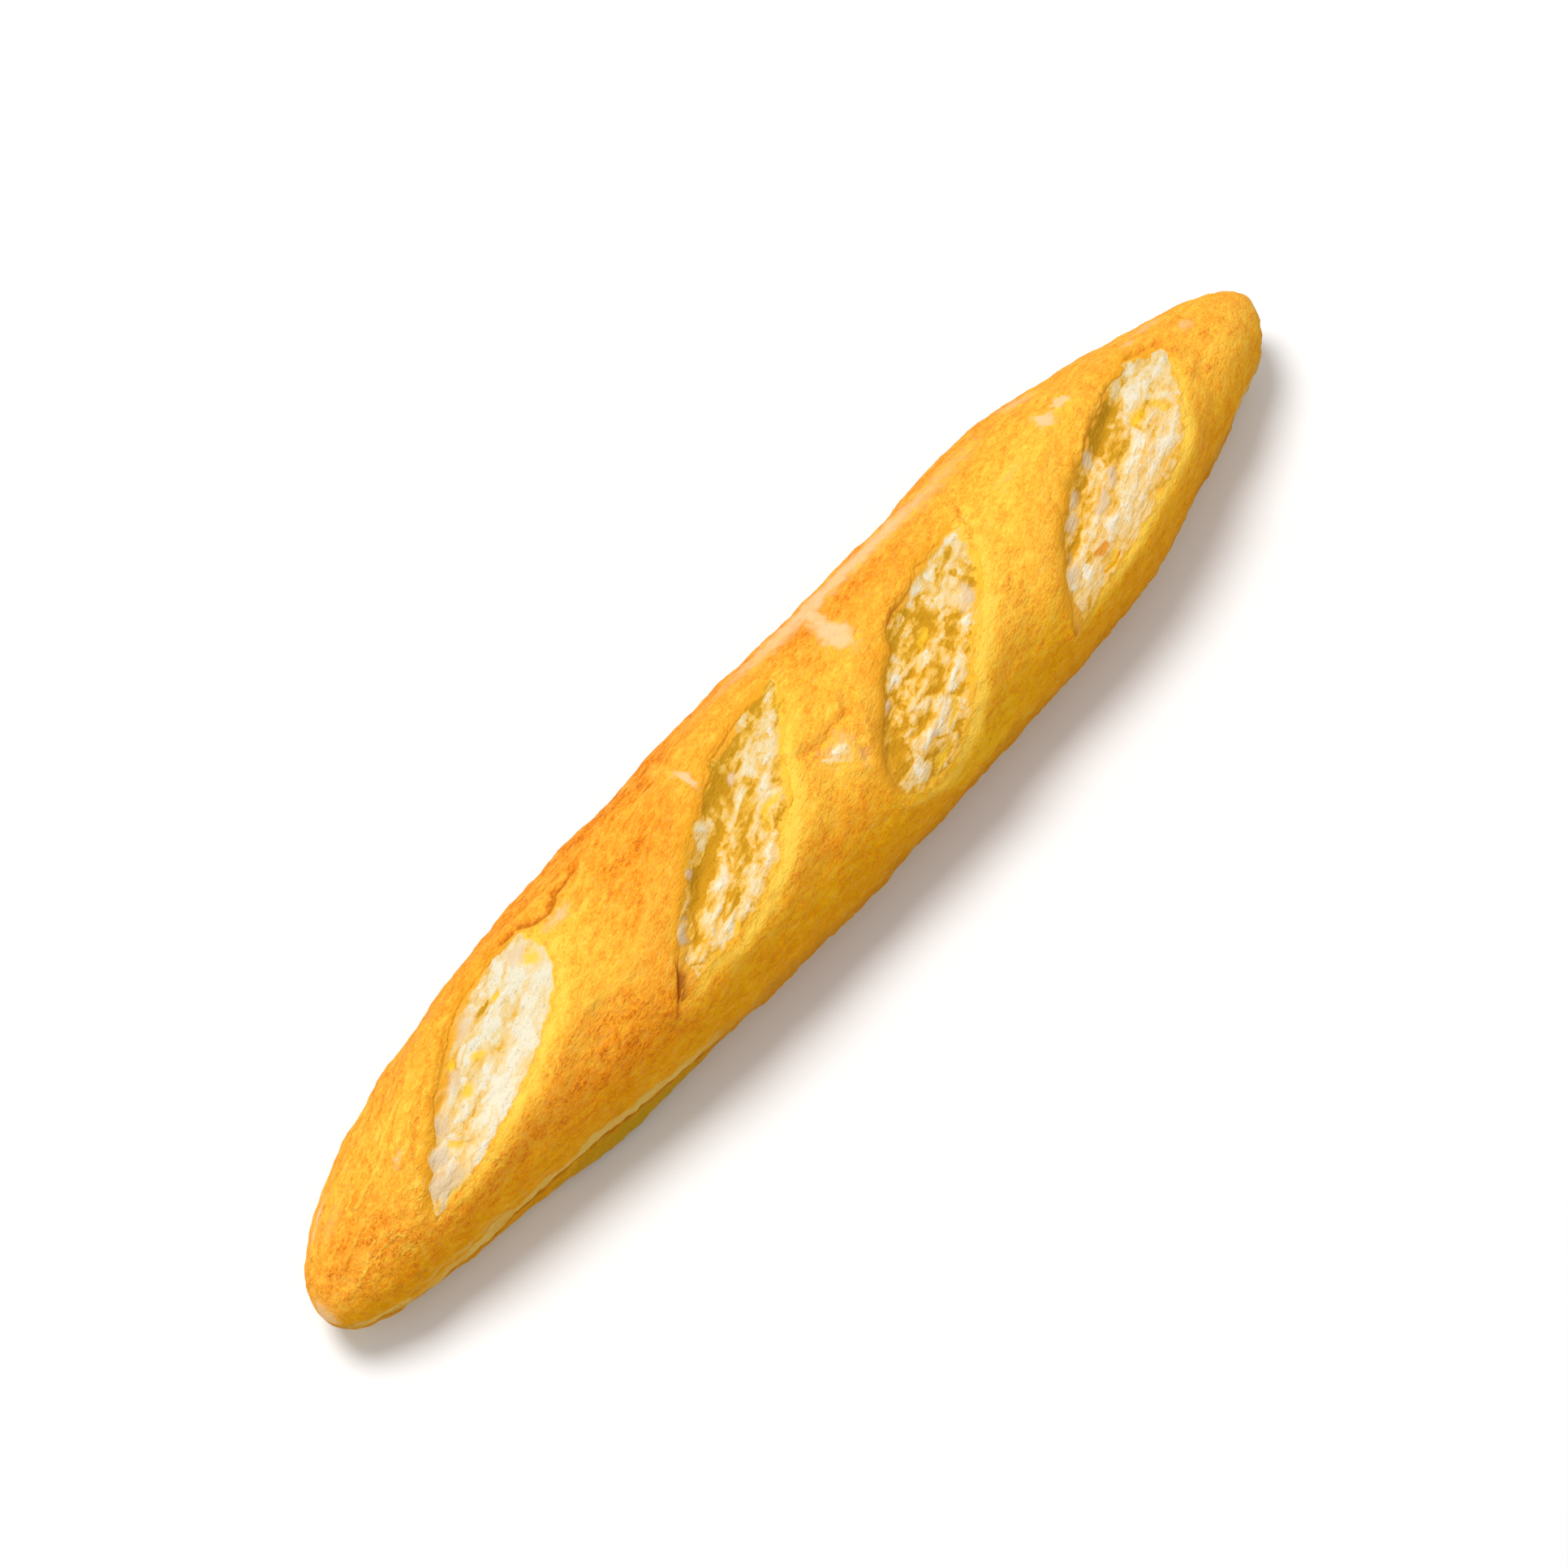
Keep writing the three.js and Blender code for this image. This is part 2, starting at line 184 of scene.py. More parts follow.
def section(x):
    """The section at x: half width, crown height, base height and how far its middle lies aside."""
    u = np.clip(x / (LENGTH / 2), -1, 1)
    plus = u > 0
    reach, round_, aside, bend = (np.where(plus, b, a) for a, b in zip(PLAN_MINUS, PLAN_PLUS))
    half = WIDTH / 2 * np.maximum(1 - np.abs(u) ** reach, 0) ** (1 / round_)
    full = np.maximum(1 - np.abs(u) ** CROWN[0], 0) ** (1 / CROWN[1])
    crown = TIP_HEIGHT + (HEIGHT - TIP_HEIGHT) * full
    curl = np.clip((np.abs(u) - LIFT_FROM) / (1 - LIFT_FROM), 0, 1)
    base = TIP_HEIGHT * (1 - np.sqrt(1 - curl * curl))
    return half, crown, base, aside * np.abs(u) ** bend


def plain_points(x, turn):
    """Points of the plain loaf. turn is 0 at the crown, and half a turn in the base's middle."""
    half, crown, base, aside = section(x)
    level = base + (crown - base) * WIDEST
    side, round_ = np.sign(turn), np.abs(turn)
    corner = half * FLAT
    share = np.clip((round_ - QUARTER_TURN) / (CORNER_TURN - QUARTER_TURN), 0, 1) * QUARTER_TURN
    on_dome, on_heel = round_ <= QUARTER_TURN, round_ <= CORNER_TURN
    y_dome = half * np.abs(np.sin(round_)) ** (2 / DOME)
    z_dome = level + (crown - level) * np.maximum(np.cos(round_), 0) ** (2 / DOME)
    y_heel = corner + (half - corner) * np.maximum(np.cos(share), 0) ** (2 / HEEL)
    z_heel = level - (level - base) * np.sin(share) ** (2 / HEEL)
    y_base = corner * (HALF_TURN - round_) / (HALF_TURN - CORNER_TURN)
    y = np.where(on_dome, y_dome, np.where(on_heel, y_heel, y_base))
    z = np.where(on_dome, z_dome, np.where(on_heel, z_heel, base))
    return np.stack([x, aside + side * y, z], axis=-1)


def outward(x, turn):
    """Which way the plain loaf faces."""
    step = 0.01
    last = LENGTH / 2 - TIP_CAP
    at = np.clip(x, -last, last)
    along = plain_points(at + step, turn) - plain_points(at - step, turn)
    around = plain_points(at, turn + step) - plain_points(at, turn - step)
    normal = np.cross(along, around)
    return normal / np.maximum(np.linalg.norm(normal, axis=-1, keepdims=True), 1e-12)


class Score:
    """A cut in the crust, with its own measures: s along it and t across it, towards +Y.

    high and low are places on its rims. Of its marks, base is how light its crumb is, rough how
    uneven, calm how much less so at the low rim, and roll how far its high side takes to fall.
    ragged and spill are how uneven its low side is and how far it goes over the rim, and gold is
    how wide its golden border is. crease and band change along it: how far the lip is undercut,
    and how wide the baked band below it is. cream, grey, yellow, olive and spot are patches of
    that colour: s, t, half length and half width. The olive patches are partly painted shade,
    in hollows and under the lips.
    """

    def __init__(self, at, turn, deep, high, low, **marks):
        self.at = at
        self.angle = math.radians(turn)
        self.deep = deep
        self.start, self.stop = float(high[0][0]), float(high[-1][0])
        self.high_line, self.low_line = self.curve(high), self.curve(low)
        self.steep = []
        for line in (self.high_line, self.low_line):
            along, across = np.gradient(line, axis=0).T
            self.steep.append(np.hypot(1, across / np.maximum(along, 0.01)))
        self.marks = marks

    @staticmethod
    def curve(places):
        """Points of the smooth curve through the places of a rim."""
        places = np.array(places, float)
        last = len(places) - 1
        position = np.linspace(0, 1, RIM_POINTS) * last
        index = np.minimum(position.astype(int), last - 1)
        w = (position - index)[..., None]
        before, here = places[np.maximum(index - 1, 0)], places[index]
        there, after = places[index + 1], places[np.minimum(index + 2, last)]
        go, come = (there - before) / 2, (after - here) / 2
        return ((2 * here - 2 * there + go + come) * w ** 3
                + (3 * there - 3 * here - 2 * go - come) * w ** 2 + go * w + here)

    def local(self, x, round_):
        """A place on the crust in the score's own measures, s and t."""
        dx, dv = x - self.at[0], round_ - self.at[1]
        cos, sin = math.cos(self.angle), math.sin(self.angle)
        return dx * cos + dv * sin, dv * cos - dx * sin

    def on_crust(self, s, t):
        cos, sin = math.cos(self.angle), math.sin(self.angle)
        return self.at[0] + s * cos - t * sin, self.at[1] + s * sin + t * cos

    def high_at(self, s):
        return np.interp(s, self.high_line[:, 0], self.high_line[:, 1])

    def low_at(self, s):
        return np.interp(s, self.low_line[:, 0], self.low_line[:, 1])

    def past(self, s, t):
        """How far a place lies past the high rim and past the low rim, square to them."""
        high_steep = np.interp(s, self.high_line[:, 0], self.steep[0])
        low_steep = np.interp(s, self.low_line[:, 0], self.steep[1])
        return (t - self.high_at(s)) / high_steep, (self.low_at(s) - t) / low_steep

    def full(self, s, beyond=0.0):
        """1 in the middle of the score, falling to 0 at its ends or a little beyond them."""
        u = 2 * (s - self.start + beyond) / (self.stop - self.start + 2 * beyond) - 1
        return np.maximum(1 - np.abs(u) ** SCORE_POWER, 0)

    def across(self, s, t):
        """0 at the low rim and 1 at the high rim."""
        inside = np.clip(s, self.start, self.stop)
        low, high = self.low_at(inside), self.high_at(inside)
        return np.clip((t - low) / np.maximum(high - low, 0.2), 0, 1)

    def floor(self, s, t):
        """How high the crumb stands off the crust's own form, before its own unevenness."""
        inward = self.high_at(np.clip(s, self.start, self.stop)) - t
        fall = self.deep * self.across(s, t) ** FLOOR["power"] * np.sqrt(self.full(s))
        start = FLOOR["start"] * smooth(1, 0.5, self.across(s, t))
        return start - fall * smooth(0, self.marks["roll"], inward)

    def along(self, kind, s):
        """A measure that is given at some places along the score."""
        places, values = np.array(self.marks[kind], float).T
        return np.interp(s, places, values)

    def amount(self, kind, s, t):
        """How much of a colour its patches lay on each place, from 0 to 1."""
        total = np.zeros_like(s)
        for at_s, at_t, long, wide in self.marks.get(kind, ()):
            total = np.maximum(total, bell((s - at_s) / long) * bell((t - at_t) / wide))
        return total


SCORES = (
    Score(
        at=(-97.5, -0.5), turn=30, deep=1.7,
        high=((-31, -1.4), (-25.5, 4.6), (-11, 8.8), (8, 11.4), (21, 10), (31, 2)),
        low=((-31, -1.4), (-20, -5), (0, -8.8), (16, -10.4), (26, -7.6), (31, 2)),
        base=0.57, rough=1.0, calm=0.85, roll=3.4, ragged=0.4, gold=0.6, spill=0,
        crease=((-16, 0), (-9, 0.35), (8, 0.5), (30, 0.4)),
        band=((-30, 1), (-24, 1.6), (-10, 2.4), (8, 2.6), (22, 2.4), (29, 1)),
        cream=((21.5, 3.3, 5, 2.8), (9.5, 1.6, 5, 2.4), (20.4, -2.8, 6, 2.6), (2, -5.4, 26, 3.6),
            (16, -7, 12, 3)),
        grey=((10, 7.2, 4.8, 2.2), (25.6, -0.3, 3, 3), (-1.8, 6, 3.4, 2.8), (-10.8, 5.3, 4, 2.5),
            (-18.5, 4.4, 3.8, 2.5), (-23.4, 0.6, 4.5, 3.6), (-28, -2.8, 2.5, 2)),
        yellow=((16.4, 1.4, 1.3, 1.5), (3.7, 1.5, 1.6, 1.5), (-3.5, 2.3, 2.4, 1.6),
            (-15.8, 1.7, 1.4, 2.8), (25.6, -4.2, 3, 3), (1.9, 7.5, 3.4, 1.3), (-23.9, -3, 3, 0.9)),
        olive=((12.2, -2.8, 2.6, 0.8), (-6, 7.4, 2, 1))),
    Score(
        at=(-29, -4.5), turn=28, deep=3.0,
        high=((-38, 1), (-26, 6), (-10, 8.3), (8, 8.4), (19, 7.2), (29, 3.8), (36.5, 0.5)),
        low=((-38, 1), (-27, -2), (-11, -8.6), (8, -8.2), (21, -4.8), (30.5, -3.4), (36.5, 0.5)),
        base=0.25, rough=1.0, calm=0, roll=4.8, ragged=0.6, gold=1.2, spill=0,
        crease=((-38, 0.9), (-30, 0.85), (-26, 0.1), (2, 0), (8, 0.4), (20, 0.4), (32, 0.15)),
        band=((-38, 9), (-30, 7), (-27, 3), (-20, 1.6), (4, 1.4), (9, 2.4), (22, 2.2), (28, 1),
            (32, -1.2)),
        cream=((-26.5, 3.4, 2.2, 1.8), (-25.2, -0.5, 2.6, 1.6), (-18.1, -3.2, 4, 1.6),
            (-14.1, -5.9, 3.4, 1.5), (-8.2, -6.5, 5, 1.8), (-2, -6.7, 4.4, 1.6),
            (5.1, -4.5, 4, 1.4), (11.6, -3.6, 4.4, 2), (-17.9, -0.8, 3, 0.9), (-7.8, 0.8, 5, 1.2),
            (-0.9, 0.1, 4, 1.2), (8, 0.3, 5, 1), (15.5, -0.2, 4, 1.4), (-15.8, 6.3, 4, 2),
            (-1, 5.8, 3.2, 1.6), (4.7, 4, 3, 1.2), (19.2, 1.4, 6, 3.0), (24.1, 0, 4, 2.0),
            (33, 0.2, 3, 1.6), (9, -7, 4, 1.8), (24, 3.3, 5, 1.5)),
        grey=((-22, 5.4, 2.8, 1.7), (-11.2, 6.1, 1.7, 1.2), (12.1, 2.7, 2.2, 1)),
        yellow=((7.1, -5.6, 4.4, 1.2), (8.5, 7.2, 3, 1), (-18, -5.6, 3, 1),
            (30.3, -2.8, 2.5, 1.4)),
        olive=((10, 3.4, 4.4, 1.5), (0, 3.1, 4.4, 1.1), (-11.3, 3.3, 5.5, 1.2),
            (-20.2, 1.8, 4.4, 1.2))),
    Score(
        at=(27.5, -8.5), turn=31, deep=2.8,
        high=((-31, 0), (-24, 7.6), (-12, 10.4), (4, 11), (14, 8.2), (24, 5), (31, -0.5)),
        low=((-31, 0), (-23, -9.6), (-12, -10.4), (4, -7), (20, -5.9), (31, -0.5)),
        base=0.26, rough=1.2, calm=0, roll=4.2, ragged=0.8, gold=2.6, spill=0,
        crease=((-31, 0), (0, 0.1), (5, 0.65), (12, 0.45), (30, 0.2)),
        band=((-31, 5), (-24, 4.5), (-17, 1.8), (0, 1.2), (5, 1.8), (14, 2.2), (26, 2), (30, 0)),
        cream=((-23.2, -2.6, 3.2, 1.6), (-16.3, -2.7, 3.2, 1.4), (-10.5, 1.6, 3.4, 1.2),
            (-9.2, -2.6, 3, 1.2), (-1.7, -3.2, 4, 1.2), (-5.7, 7.2, 3.4, 1.2), (4.8, 6.7, 5, 2),
            (19, 2.2, 9, 3.6), (28.4, -0.1, 2.4, 1.5), (14.5, 5, 5, 2), (24, 2.2, 5, 2.2),
            (7.8, -0.4, 4.2, 2.4), (-14.5, -6.4, 4, 1.4), (-15, -9, 2.6, 1), (5.5, -4.6, 7, 2.2),
            (13, 1.6, 4, 1.6), (18, -1.6, 8, 3.4)),
        grey=((-12.2, 7.4, 1.8, 1.4), (14, -3.7, 2.8, 1.8), (-15.4, -2.9, 1.6, 1)),
        yellow=((-18.7, -7.4, 5, 1.6), (-9, -6.4, 5, 1.4), (4.3, 3.2, 3, 1), (15, -6.2, 3, 0.7)),
        olive=((-20.5, 3.6, 5, 2.2), (-14.5, 0.6, 4, 1.3), (-5.5, 4.2, 5, 1),
            (-10.5, -0.8, 5, 0.8), (7.4, 3, 4, 0.8))),
    Score(
        at=(86, -11), turn=27, deep=2.9,
        high=((-36, -1), (-27, 6.8), (-17, 11), (-6, 12), (8, 10.2), (20, 9.2), (29, 7.4),
            (35, -1)),
        low=((-36, -1), (-27, -1.8), (-10, -7), (12, -12.6), (20, -9), (29, -5.2), (35, -1)),
        base=0.46, rough=0.9, calm=0.5, roll=4.8, ragged=0.75, gold=1.0, spill=0.8,
        crease=((-36, 0.9), (-33, 0.5), (-29, 0), (-2, 0), (4, 0.5), (20, 0.5), (26, 0.1),
            (34, 0)),
        band=((-36, 4), (-29, 4), (-24, 1.6), (-5, 1.4), (10, 2), (20, 1.2), (24, -1)),
        cream=((27.5, 0.4, 5.5, 5.5), (23, -5.2, 2.2, 3), (31, -2.4, 2.6, 1.5),
            (10.2, -3.4, 5, 2.6), (12.6, -8.6, 7, 3), (6, -3.3, 5, 3), (-20.5, 1.3, 4.4, 2.6),
            (-23, 3.6, 3, 2), (-9.9, -1.6, 4.4, 2), (-4.1, -4.1, 5, 2), (2.6, -7.2, 7, 2.2)),
        grey=((3.2, 8, 3, 1.7), (-7.2, 8.9, 3.4, 1.7), (-13.1, 7.8, 3.4, 1.6), (-23, 5, 3, 1.6),
            (-5.8, 3, 4, 1.6), (1, 1.6, 4, 1.6)),
        yellow=((16.2, 0.2, 3.2, 1.2), (19.5, -4.3, 2, 2.4), (-17, -3.8, 4, 1)),
        olive=((14.5, 5.8, 6, 2), (7.3, 5.6, 5, 1.8), (-17.1, 6, 3.4, 1.2), (-5.8, 5.4, 4.6, 1.6),
            (3.4, 0.6, 4, 0.8)),
        spot=((-15.9, -0.7, 1.5, 1.5),)),
)
TEAR = Score(
    at=(-2, -7.8), turn=0, deep=0.5,
    high=((-4, 1.6), (0, 2.4), (3.8, 1.6)),
    low=((-4, 1.6), (0.8, -3.2), (3.8, 1.6)),
    base=0.4, rough=0.6, calm=0.5, roll=0.9, ragged=0.3, gold=1.0, spill=0,
    crease=((-4, 0), (4, 0)),
    band=((-4, -1), (4, -1)),
    cream=((0.8, 0, 2, 1.4),))


def rise(x, turn):
    """How far the crust stands off the plain loaf."""
    round_ = turn * GIRTH_RADIUS
    height = np.zeros_like(x)
    for at, tall, reach in SWELLS:
        height += tall * bell((x - at[0]) / reach[0]) * bell((round_ - at[1]) / reach[1])
    for score in SCORES:
        s, t = score.local(x, round_)
        along = score.full(s, LIP["reach"])
        inside = np.clip(s, score.start, score.stop)
        lip_at = score.high_at(inside) + LIP["out"]
        ridge_at = score.low_at(inside) - RIDGE["out"]
        height += LIP["rise"] * along * bell((t - lip_at) / LIP["reach"])
        height += RIDGE["rise"] * along * bell((t - ridge_at) / RIDGE["reach"])
    return height


def crust_points(x, turn, height, raised=None):
    """Points at a height above the crust. raised is how far the crust itself stands off."""
    raised = rise(x, turn) if raised is None else raised
    lift = np.where(np.abs(turn) > CORNER_TURN - 1e-9, 0.0, raised) + height
    points = plain_points(x, turn) + outward(x, turn) * lift[..., None]
    points[..., 2] = np.maximum(points[..., 2], section(x)[2])
    return points


def middle_of_form():
    """Where the form's own box has its middle, sideways: the CAD part is centred on it."""
    x, turn = np.meshgrid(np.linspace(-120, 120, 161), np.linspace(-2.2, 2.2, 161))
    y = crust_points(x, turn, 0.0)[..., 1]
    return (y.min() + y.max()) / 2


SIDEWAYS = (LOAF_BOX[0][1] + LOAF_BOX[1][1]) / 2 / MM - middle_of_form()


def to_metres(points):
    """From the form's millimetres to the part's own frame."""
    return (points + np.array([0.0, SIDEWAYS, 0.0])) * MM


# ---- unevenness ----


def shift(seed):
    """A step aside that gives each seed an unevenness of its own."""
    return Vector([part * seed for part in (31.7, 12.9, 7.3)])


def lumps(places, size, layers, seed):
    """Soft unevenness of about the given size, from about -1 to 1, at an n by 3 array of places."""
    aside = shift(seed)
    values = [noise.fractal(Vector(place) + aside, 0.9, 2.0, layers) for place in places / size]
    return np.clip(np.array(values) * 1.6, -1.2, 1.2)


def clumps(places, size, seed):
    """Rounded clumps of about the given size: how high each place stands, and its clump's own tone.

    Both go from about -1 to 1.
    """
    aside = shift(seed)
    tall, tone = np.empty((2, len(places)))
    for index, place in enumerate(places / size):
        (near, beside, *_), (middle, *_) = noise.voronoi(Vector(place) + aside)
        tall[index] = min(beside - near, 0.5) - near
        tone[index] = noise.noise(middle * 5.3)
    return 2 * tall + 0.6, 1.8 * tone


def stroke(x, round_, places, width):
    """1 on the line through the places, fading to 0 within about two widths of it."""
    nearest = np.full_like(x, 1e9)
    for (ax, av), (bx, bv) in zip(places, places[1:]):
        dx, dv = bx - ax, bv - av
        share = np.clip(((x - ax) * dx + (round_ - av) * dv) / (dx * dx + dv * dv), 0, 1)
        nearest = np.minimum(nearest, np.hypot(x - ax - share * dx, round_ - av - share * dv))
    return bell(nearest / width)


# ---- helpers for modelling ----


def deselect():
    """Leaves edit mode with nothing selected."""
    if bpy.context.object and bpy.context.object.mode != "OBJECT":
        leave_edit()
    bpy.ops.object.select_all(action="DESELECT")


def edit(kind="VERT"):
    """Goes into edit mode, for selecting points or another kind of element."""
    bpy.ops.object.mode_set(mode="EDIT")
    bpy.ops.mesh.select_mode(type=kind)


def leave_edit():
    bpy.ops.object.mode_set(mode="OBJECT")


def add_grid(name, columns, rows):
    """A flat grid, one unit square, that the loaf's pieces start from."""
    deselect()
    bpy.ops.mesh.primitive_grid_add(
        x_subdivisions=columns, y_subdivisions=rows, size=1, location=(0.5, 0.5, 0))
    piece = bpy.context.object
    bpy.ops.object.transform_apply(location=True, rotation=False, scale=False)
    piece.name = name
    piece.data.name = name
    return piece


def read_points(piece):
    flat = np.empty(len(piece.data.vertices) * 3)
    piece.data.vertices.foreach_get("co", flat)
    return flat.reshape(-1, 3)


def write_points(piece, points):
    piece.data.vertices.foreach_set("co", np.ascontiguousarray(points, dtype=float).ravel())
    piece.data.update()


def write_attributes(piece, **layers):
    for name, values in layers.items():
        layer = piece.data.attributes.new(name, "FLOAT", "POINT")
        layer.data.foreach_set("value", np.ascontiguousarray(values, dtype=np.float32))


def select_faces(piece, chosen):
    """Goes into edit mode with the chosen faces selected; chosen is an array of yes and no."""
    edit("FACE")
    bpy.ops.mesh.select_all(action="DESELECT")
    leave_edit()
    piece.data.polygons.foreach_set("select", chosen)
    edit("FACE")


def close_seams():
    """Joins the points that lie in one place, and turns the faces outwards."""
    edit()
    bpy.ops.mesh.select_all(action="SELECT")
    bpy.ops.mesh.remove_doubles(threshold=SEAM)
    bpy.ops.mesh.normals_make_consistent(inside=False)
    leave_edit()


def finish(piece, material):
    """Gives a piece its material and its body, and hides the node that it stands in for."""
    bpy.ops.object.shade_smooth()
    piece.data.materials.append(material)
    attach(piece, "root")
    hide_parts("loaf")


# ---- helpers for materials ----


class Paint:
    """The nodes of one material. Each method gives the socket that carries its result."""

    def __init__(self, name):
        self.material = bpy.data.materials.new(name)
        self.material.use_nodes = True
        self.nodes = self.material.node_tree.nodes
        self.links = self.material.node_tree.links
        self.shader = self.nodes["Principled BSDF"]
        self.place = self.nodes.new("ShaderNodeTexCoord").outputs["Object"]

    def feed(self, socket, value):
        """Links the socket, or sets it where the value is a plain number, place or colour."""
        if isinstance(value, bpy.types.NodeSocket):
            self.links.new(value, socket)
        elif socket.type == "RGBA":
            socket.default_value = (*value[:3], 1)
        else:
            socket.default_value = value

    def show(self, name, value):
        """Gives the surface one of its own inputs."""
        self.feed(self.shader.inputs[name], value)

    def add(self, kind, inputs, output=0, **options):
        node = self.nodes.new(kind)
        for name, value in options.items():
            setattr(node, name, value)
        for name, value in inputs.items():
            self.feed(node.inputs[name], value)
        return node.outputs[output]

    def measure(self, name):
        """A measure that was written to the mesh's own points."""
        return self.add("ShaderNodeAttribute", {}, "Fac", attribute_name=name)

    def math(self, operation, a, b, c=0.0):
        return self.add("ShaderNodeMath", {0: a, 1: b, 2: c}, operation=operation)

    def smooth(self, value, low, high, least=0.0, most=1.0):
        return self.add("ShaderNodeMapRange", {
            "Value": value, "From Min": low, "From Max": high, "To Min": least, "To Max": most,
        }, interpolation_type="SMOOTHSTEP")

    def mix(self, share, a, b):
        return self.add("ShaderNodeMix", {0: share, 6: a, 7: b}, 2, data_type="RGBA")

    def tint(self, share, colour, by):
        """The colour multiplied by another, by the given share."""
        return self.add("ShaderNodeMix", {0: share, 6: colour, 7: by}, 2,
                        data_type="RGBA", blend_type="MULTIPLY")

    def cover(self, colour, name, over, low, high, most, *uneven):
        """The colour with another laid over it where a measure, made uneven, is high."""
        share = self.total((self.measure(name), 1.0), *uneven)
        return self.mix(self.smooth(share, low, high, 0.0, most), colour, over)

    def ramp(self, value, stops):
        """Colours at places from 0 to 1, blended in between."""
        node = self.nodes.new("ShaderNodeValToRGB")
        elements = node.color_ramp.elements
        while len(elements) < len(stops):
            elements.new(0.5)
        for element, (position, colour) in zip(elements, stops):
            element.position = position
            element.color = (*colour[:3], 1)
        self.feed(node.inputs[0], value)
        return node.outputs[0]

    def at(self, size, stretch, turn, seed):
        """Places for a texture of a size in millimetres, stretched along X and turned about Z."""
        return self.add("ShaderNodeMapping", {
            "Vector": self.place,
            "Location": (seed * 3.1, seed * 1.7, seed * 2.3),
            "Rotation": (0, 0, math.radians(turn)),
            "Scale": (size * MM * stretch, size * MM, size * MM),
        }, vector_type="TEXTURE")

    def noise(self, size, detail, rough, stretch=1, turn=0, seed=0):
        """Unevenness of the given size in millimetres, about -1 to 1."""
        value = self.add("ShaderNodeTexNoise", {
            "Vector": self.at(size, stretch, turn, seed),
            "Scale": 1.0, "Detail": detail, "Roughness": rough})
        return self.math("MULTIPLY_ADD", value, 4.0, -2.0)

    def cells(self, size, seed):
        """The distance from the middles of cells of the given size in millimetres."""
        return self.add("ShaderNodeTexVoronoi", {
            "Vector": self.at(size, 1, 0, seed), "Scale": 1.0}, "Distance")

    def total(self, *parts):
        """The sum of values, each with a factor."""
        result = None
        for value, factor in parts:
            result = self.math("MULTIPLY_ADD", value, factor, 0.0 if result is None else result)
        return result

    def bump(self, *parts):
        """Relief on the shader, from heights in millimetres."""
        self.show("Normal", self.add("ShaderNodeBump", {
            "Height": self.total(*parts), "Strength": 1.0, "Distance": MM}, "Normal"))


# ---- the crust ----

FINER_FROM = dict(flour=0.3, fold=0.15)  # how strong these are where the faces get smaller
SHUT = 3.0  # the last stretch of each end, over which it is drawn together in one point


def stations(count):
    """Places along the loaf, evenly spaced on its outline rather than on its axis."""
    fine = -LENGTH / 2 * np.cos(np.linspace(0, HALF_TURN, 4001))
    half, crown, base, _ = section(fine)
    steps = np.hypot(np.diff(fine), np.hypot(np.diff(half), np.diff(crown)) * 0.8)
    length = np.concatenate([[0], np.cumsum(steps)])
    return np.interp(np.linspace(0, length[-1], count + 1), length, fine)


def turns(dome, heel, base):
    """Turns round a section, closer together on the dome than on the heels and the base."""
    stops = [-HALF_TURN, -CORNER_TURN, -QUARTER_TURN, QUARTER_TURN, CORNER_TURN, HALF_TURN]
    counts = [base, heel, dome, heel, base]
    spans = [np.linspace(a, b, n, endpoint=False) for a, b, n in zip(stops, stops[1:], counts)]
    return np.concatenate(spans + [[HALF_TURN]])


def cut_in_crust(x, round_, wobble=0.0):
    """What the scores do to the crust at each place.

    Gives how far it drops, how far it leans along and round the loaf, its distance from the
    nearest rim (less than 0 inside a score), how close it is to a low and to a high rim, how much
    painted shade it gets where it rolls into a score and how close it is to the top of a lip.
    """
    drop, lean_x, lean_round = np.zeros((3, *x.shape))
    edge = np.full_like(x, 99.0)
    low_rim, high_rim, roll_shade, lip = np.zeros((4, *x.shape))
    for score in (*SCORES, TEAR):
        pocket = 0 if score is TEAR else POCKET
        s, t = score.local(x, round_)
        s, t = s + 1.4 * wobble, t + wobble
        clipped = np.clip(s, score.start, score.stop)
        beyond = np.abs(s - clipped)
        past_high, past_low = score.past(clipped, t)
        outside = np.hypot(np.maximum(np.maximum(past_high, past_low), 0), beyond)
        within = beyond == 0
        inside = np.where(within, np.minimum(-past_high, -past_low), -1)
        signed = np.where(inside > 0, -inside, outside)
        crease = score.along("crease", s)
        inset = ROLL["inset"] * (1 - crease)
        wall = within * smooth(0, 1.2, -past_high - inset)
        wall = np.minimum(wall, smooth(1.1, 2.7, -past_low))
        rolled = np.maximum(-score.floor(clipped, t) - ROLL["above"], 0) * (1 - crease)
        rolled *= within * (past_high < 0) * smooth(0.6, 1.6, -past_low)
        drop += rolled * (1 - wall) + (score.deep + pocket) * wall
        fade = bell(beyond / END_FADE)
        if score is not TEAR:
            root, under = smooth(0, EAR["root"], past_high), smooth(0, EAR["under"], -past_high)
            fall = (1 - np.where(past_high >= 0, root, under)) * fade * crease
            lean_x += EAR["over"] * fall * math.sin(score.angle)
            lean_round -= EAR["over"] * fall * math.cos(score.angle)
            drop -= EAR["rise"] * fall * smooth(-0.5, 0.2, past_high)
            share = (clipped - score.start) / (score.stop - score.start)
            along = np.maximum(np.sin(HALF_TURN * share), 0) ** 0.7
            low_rim = np.maximum(low_rim, bell((past_low - 1.7) / 1.7) * fade * (0.3 + 0.7 * along))
            lip = np.maximum(lip, bell((past_high - LIP["out"]) / 3) * bell(beyond / 4))
            # Painted shade where the crust rolls into a score: from about 3 mm outside the high rim
            # inwards, weaker where the lip is creased.
            inner_shade = smooth(3.2, -1.4, past_high) * smooth(0.4, 2.4, -past_low) * (1 - 0.6 * crease)
            roll_shade = np.maximum(roll_shade, inner_shade * fade)
        high_rim = np.maximum(high_rim, bell(past_high / 0.7) * fade * crease)
        edge = np.where(np.abs(signed) < np.abs(edge), signed, edge)
    return drop, lean_x, lean_round, edge, low_rim, high_rim, roll_shade, lip


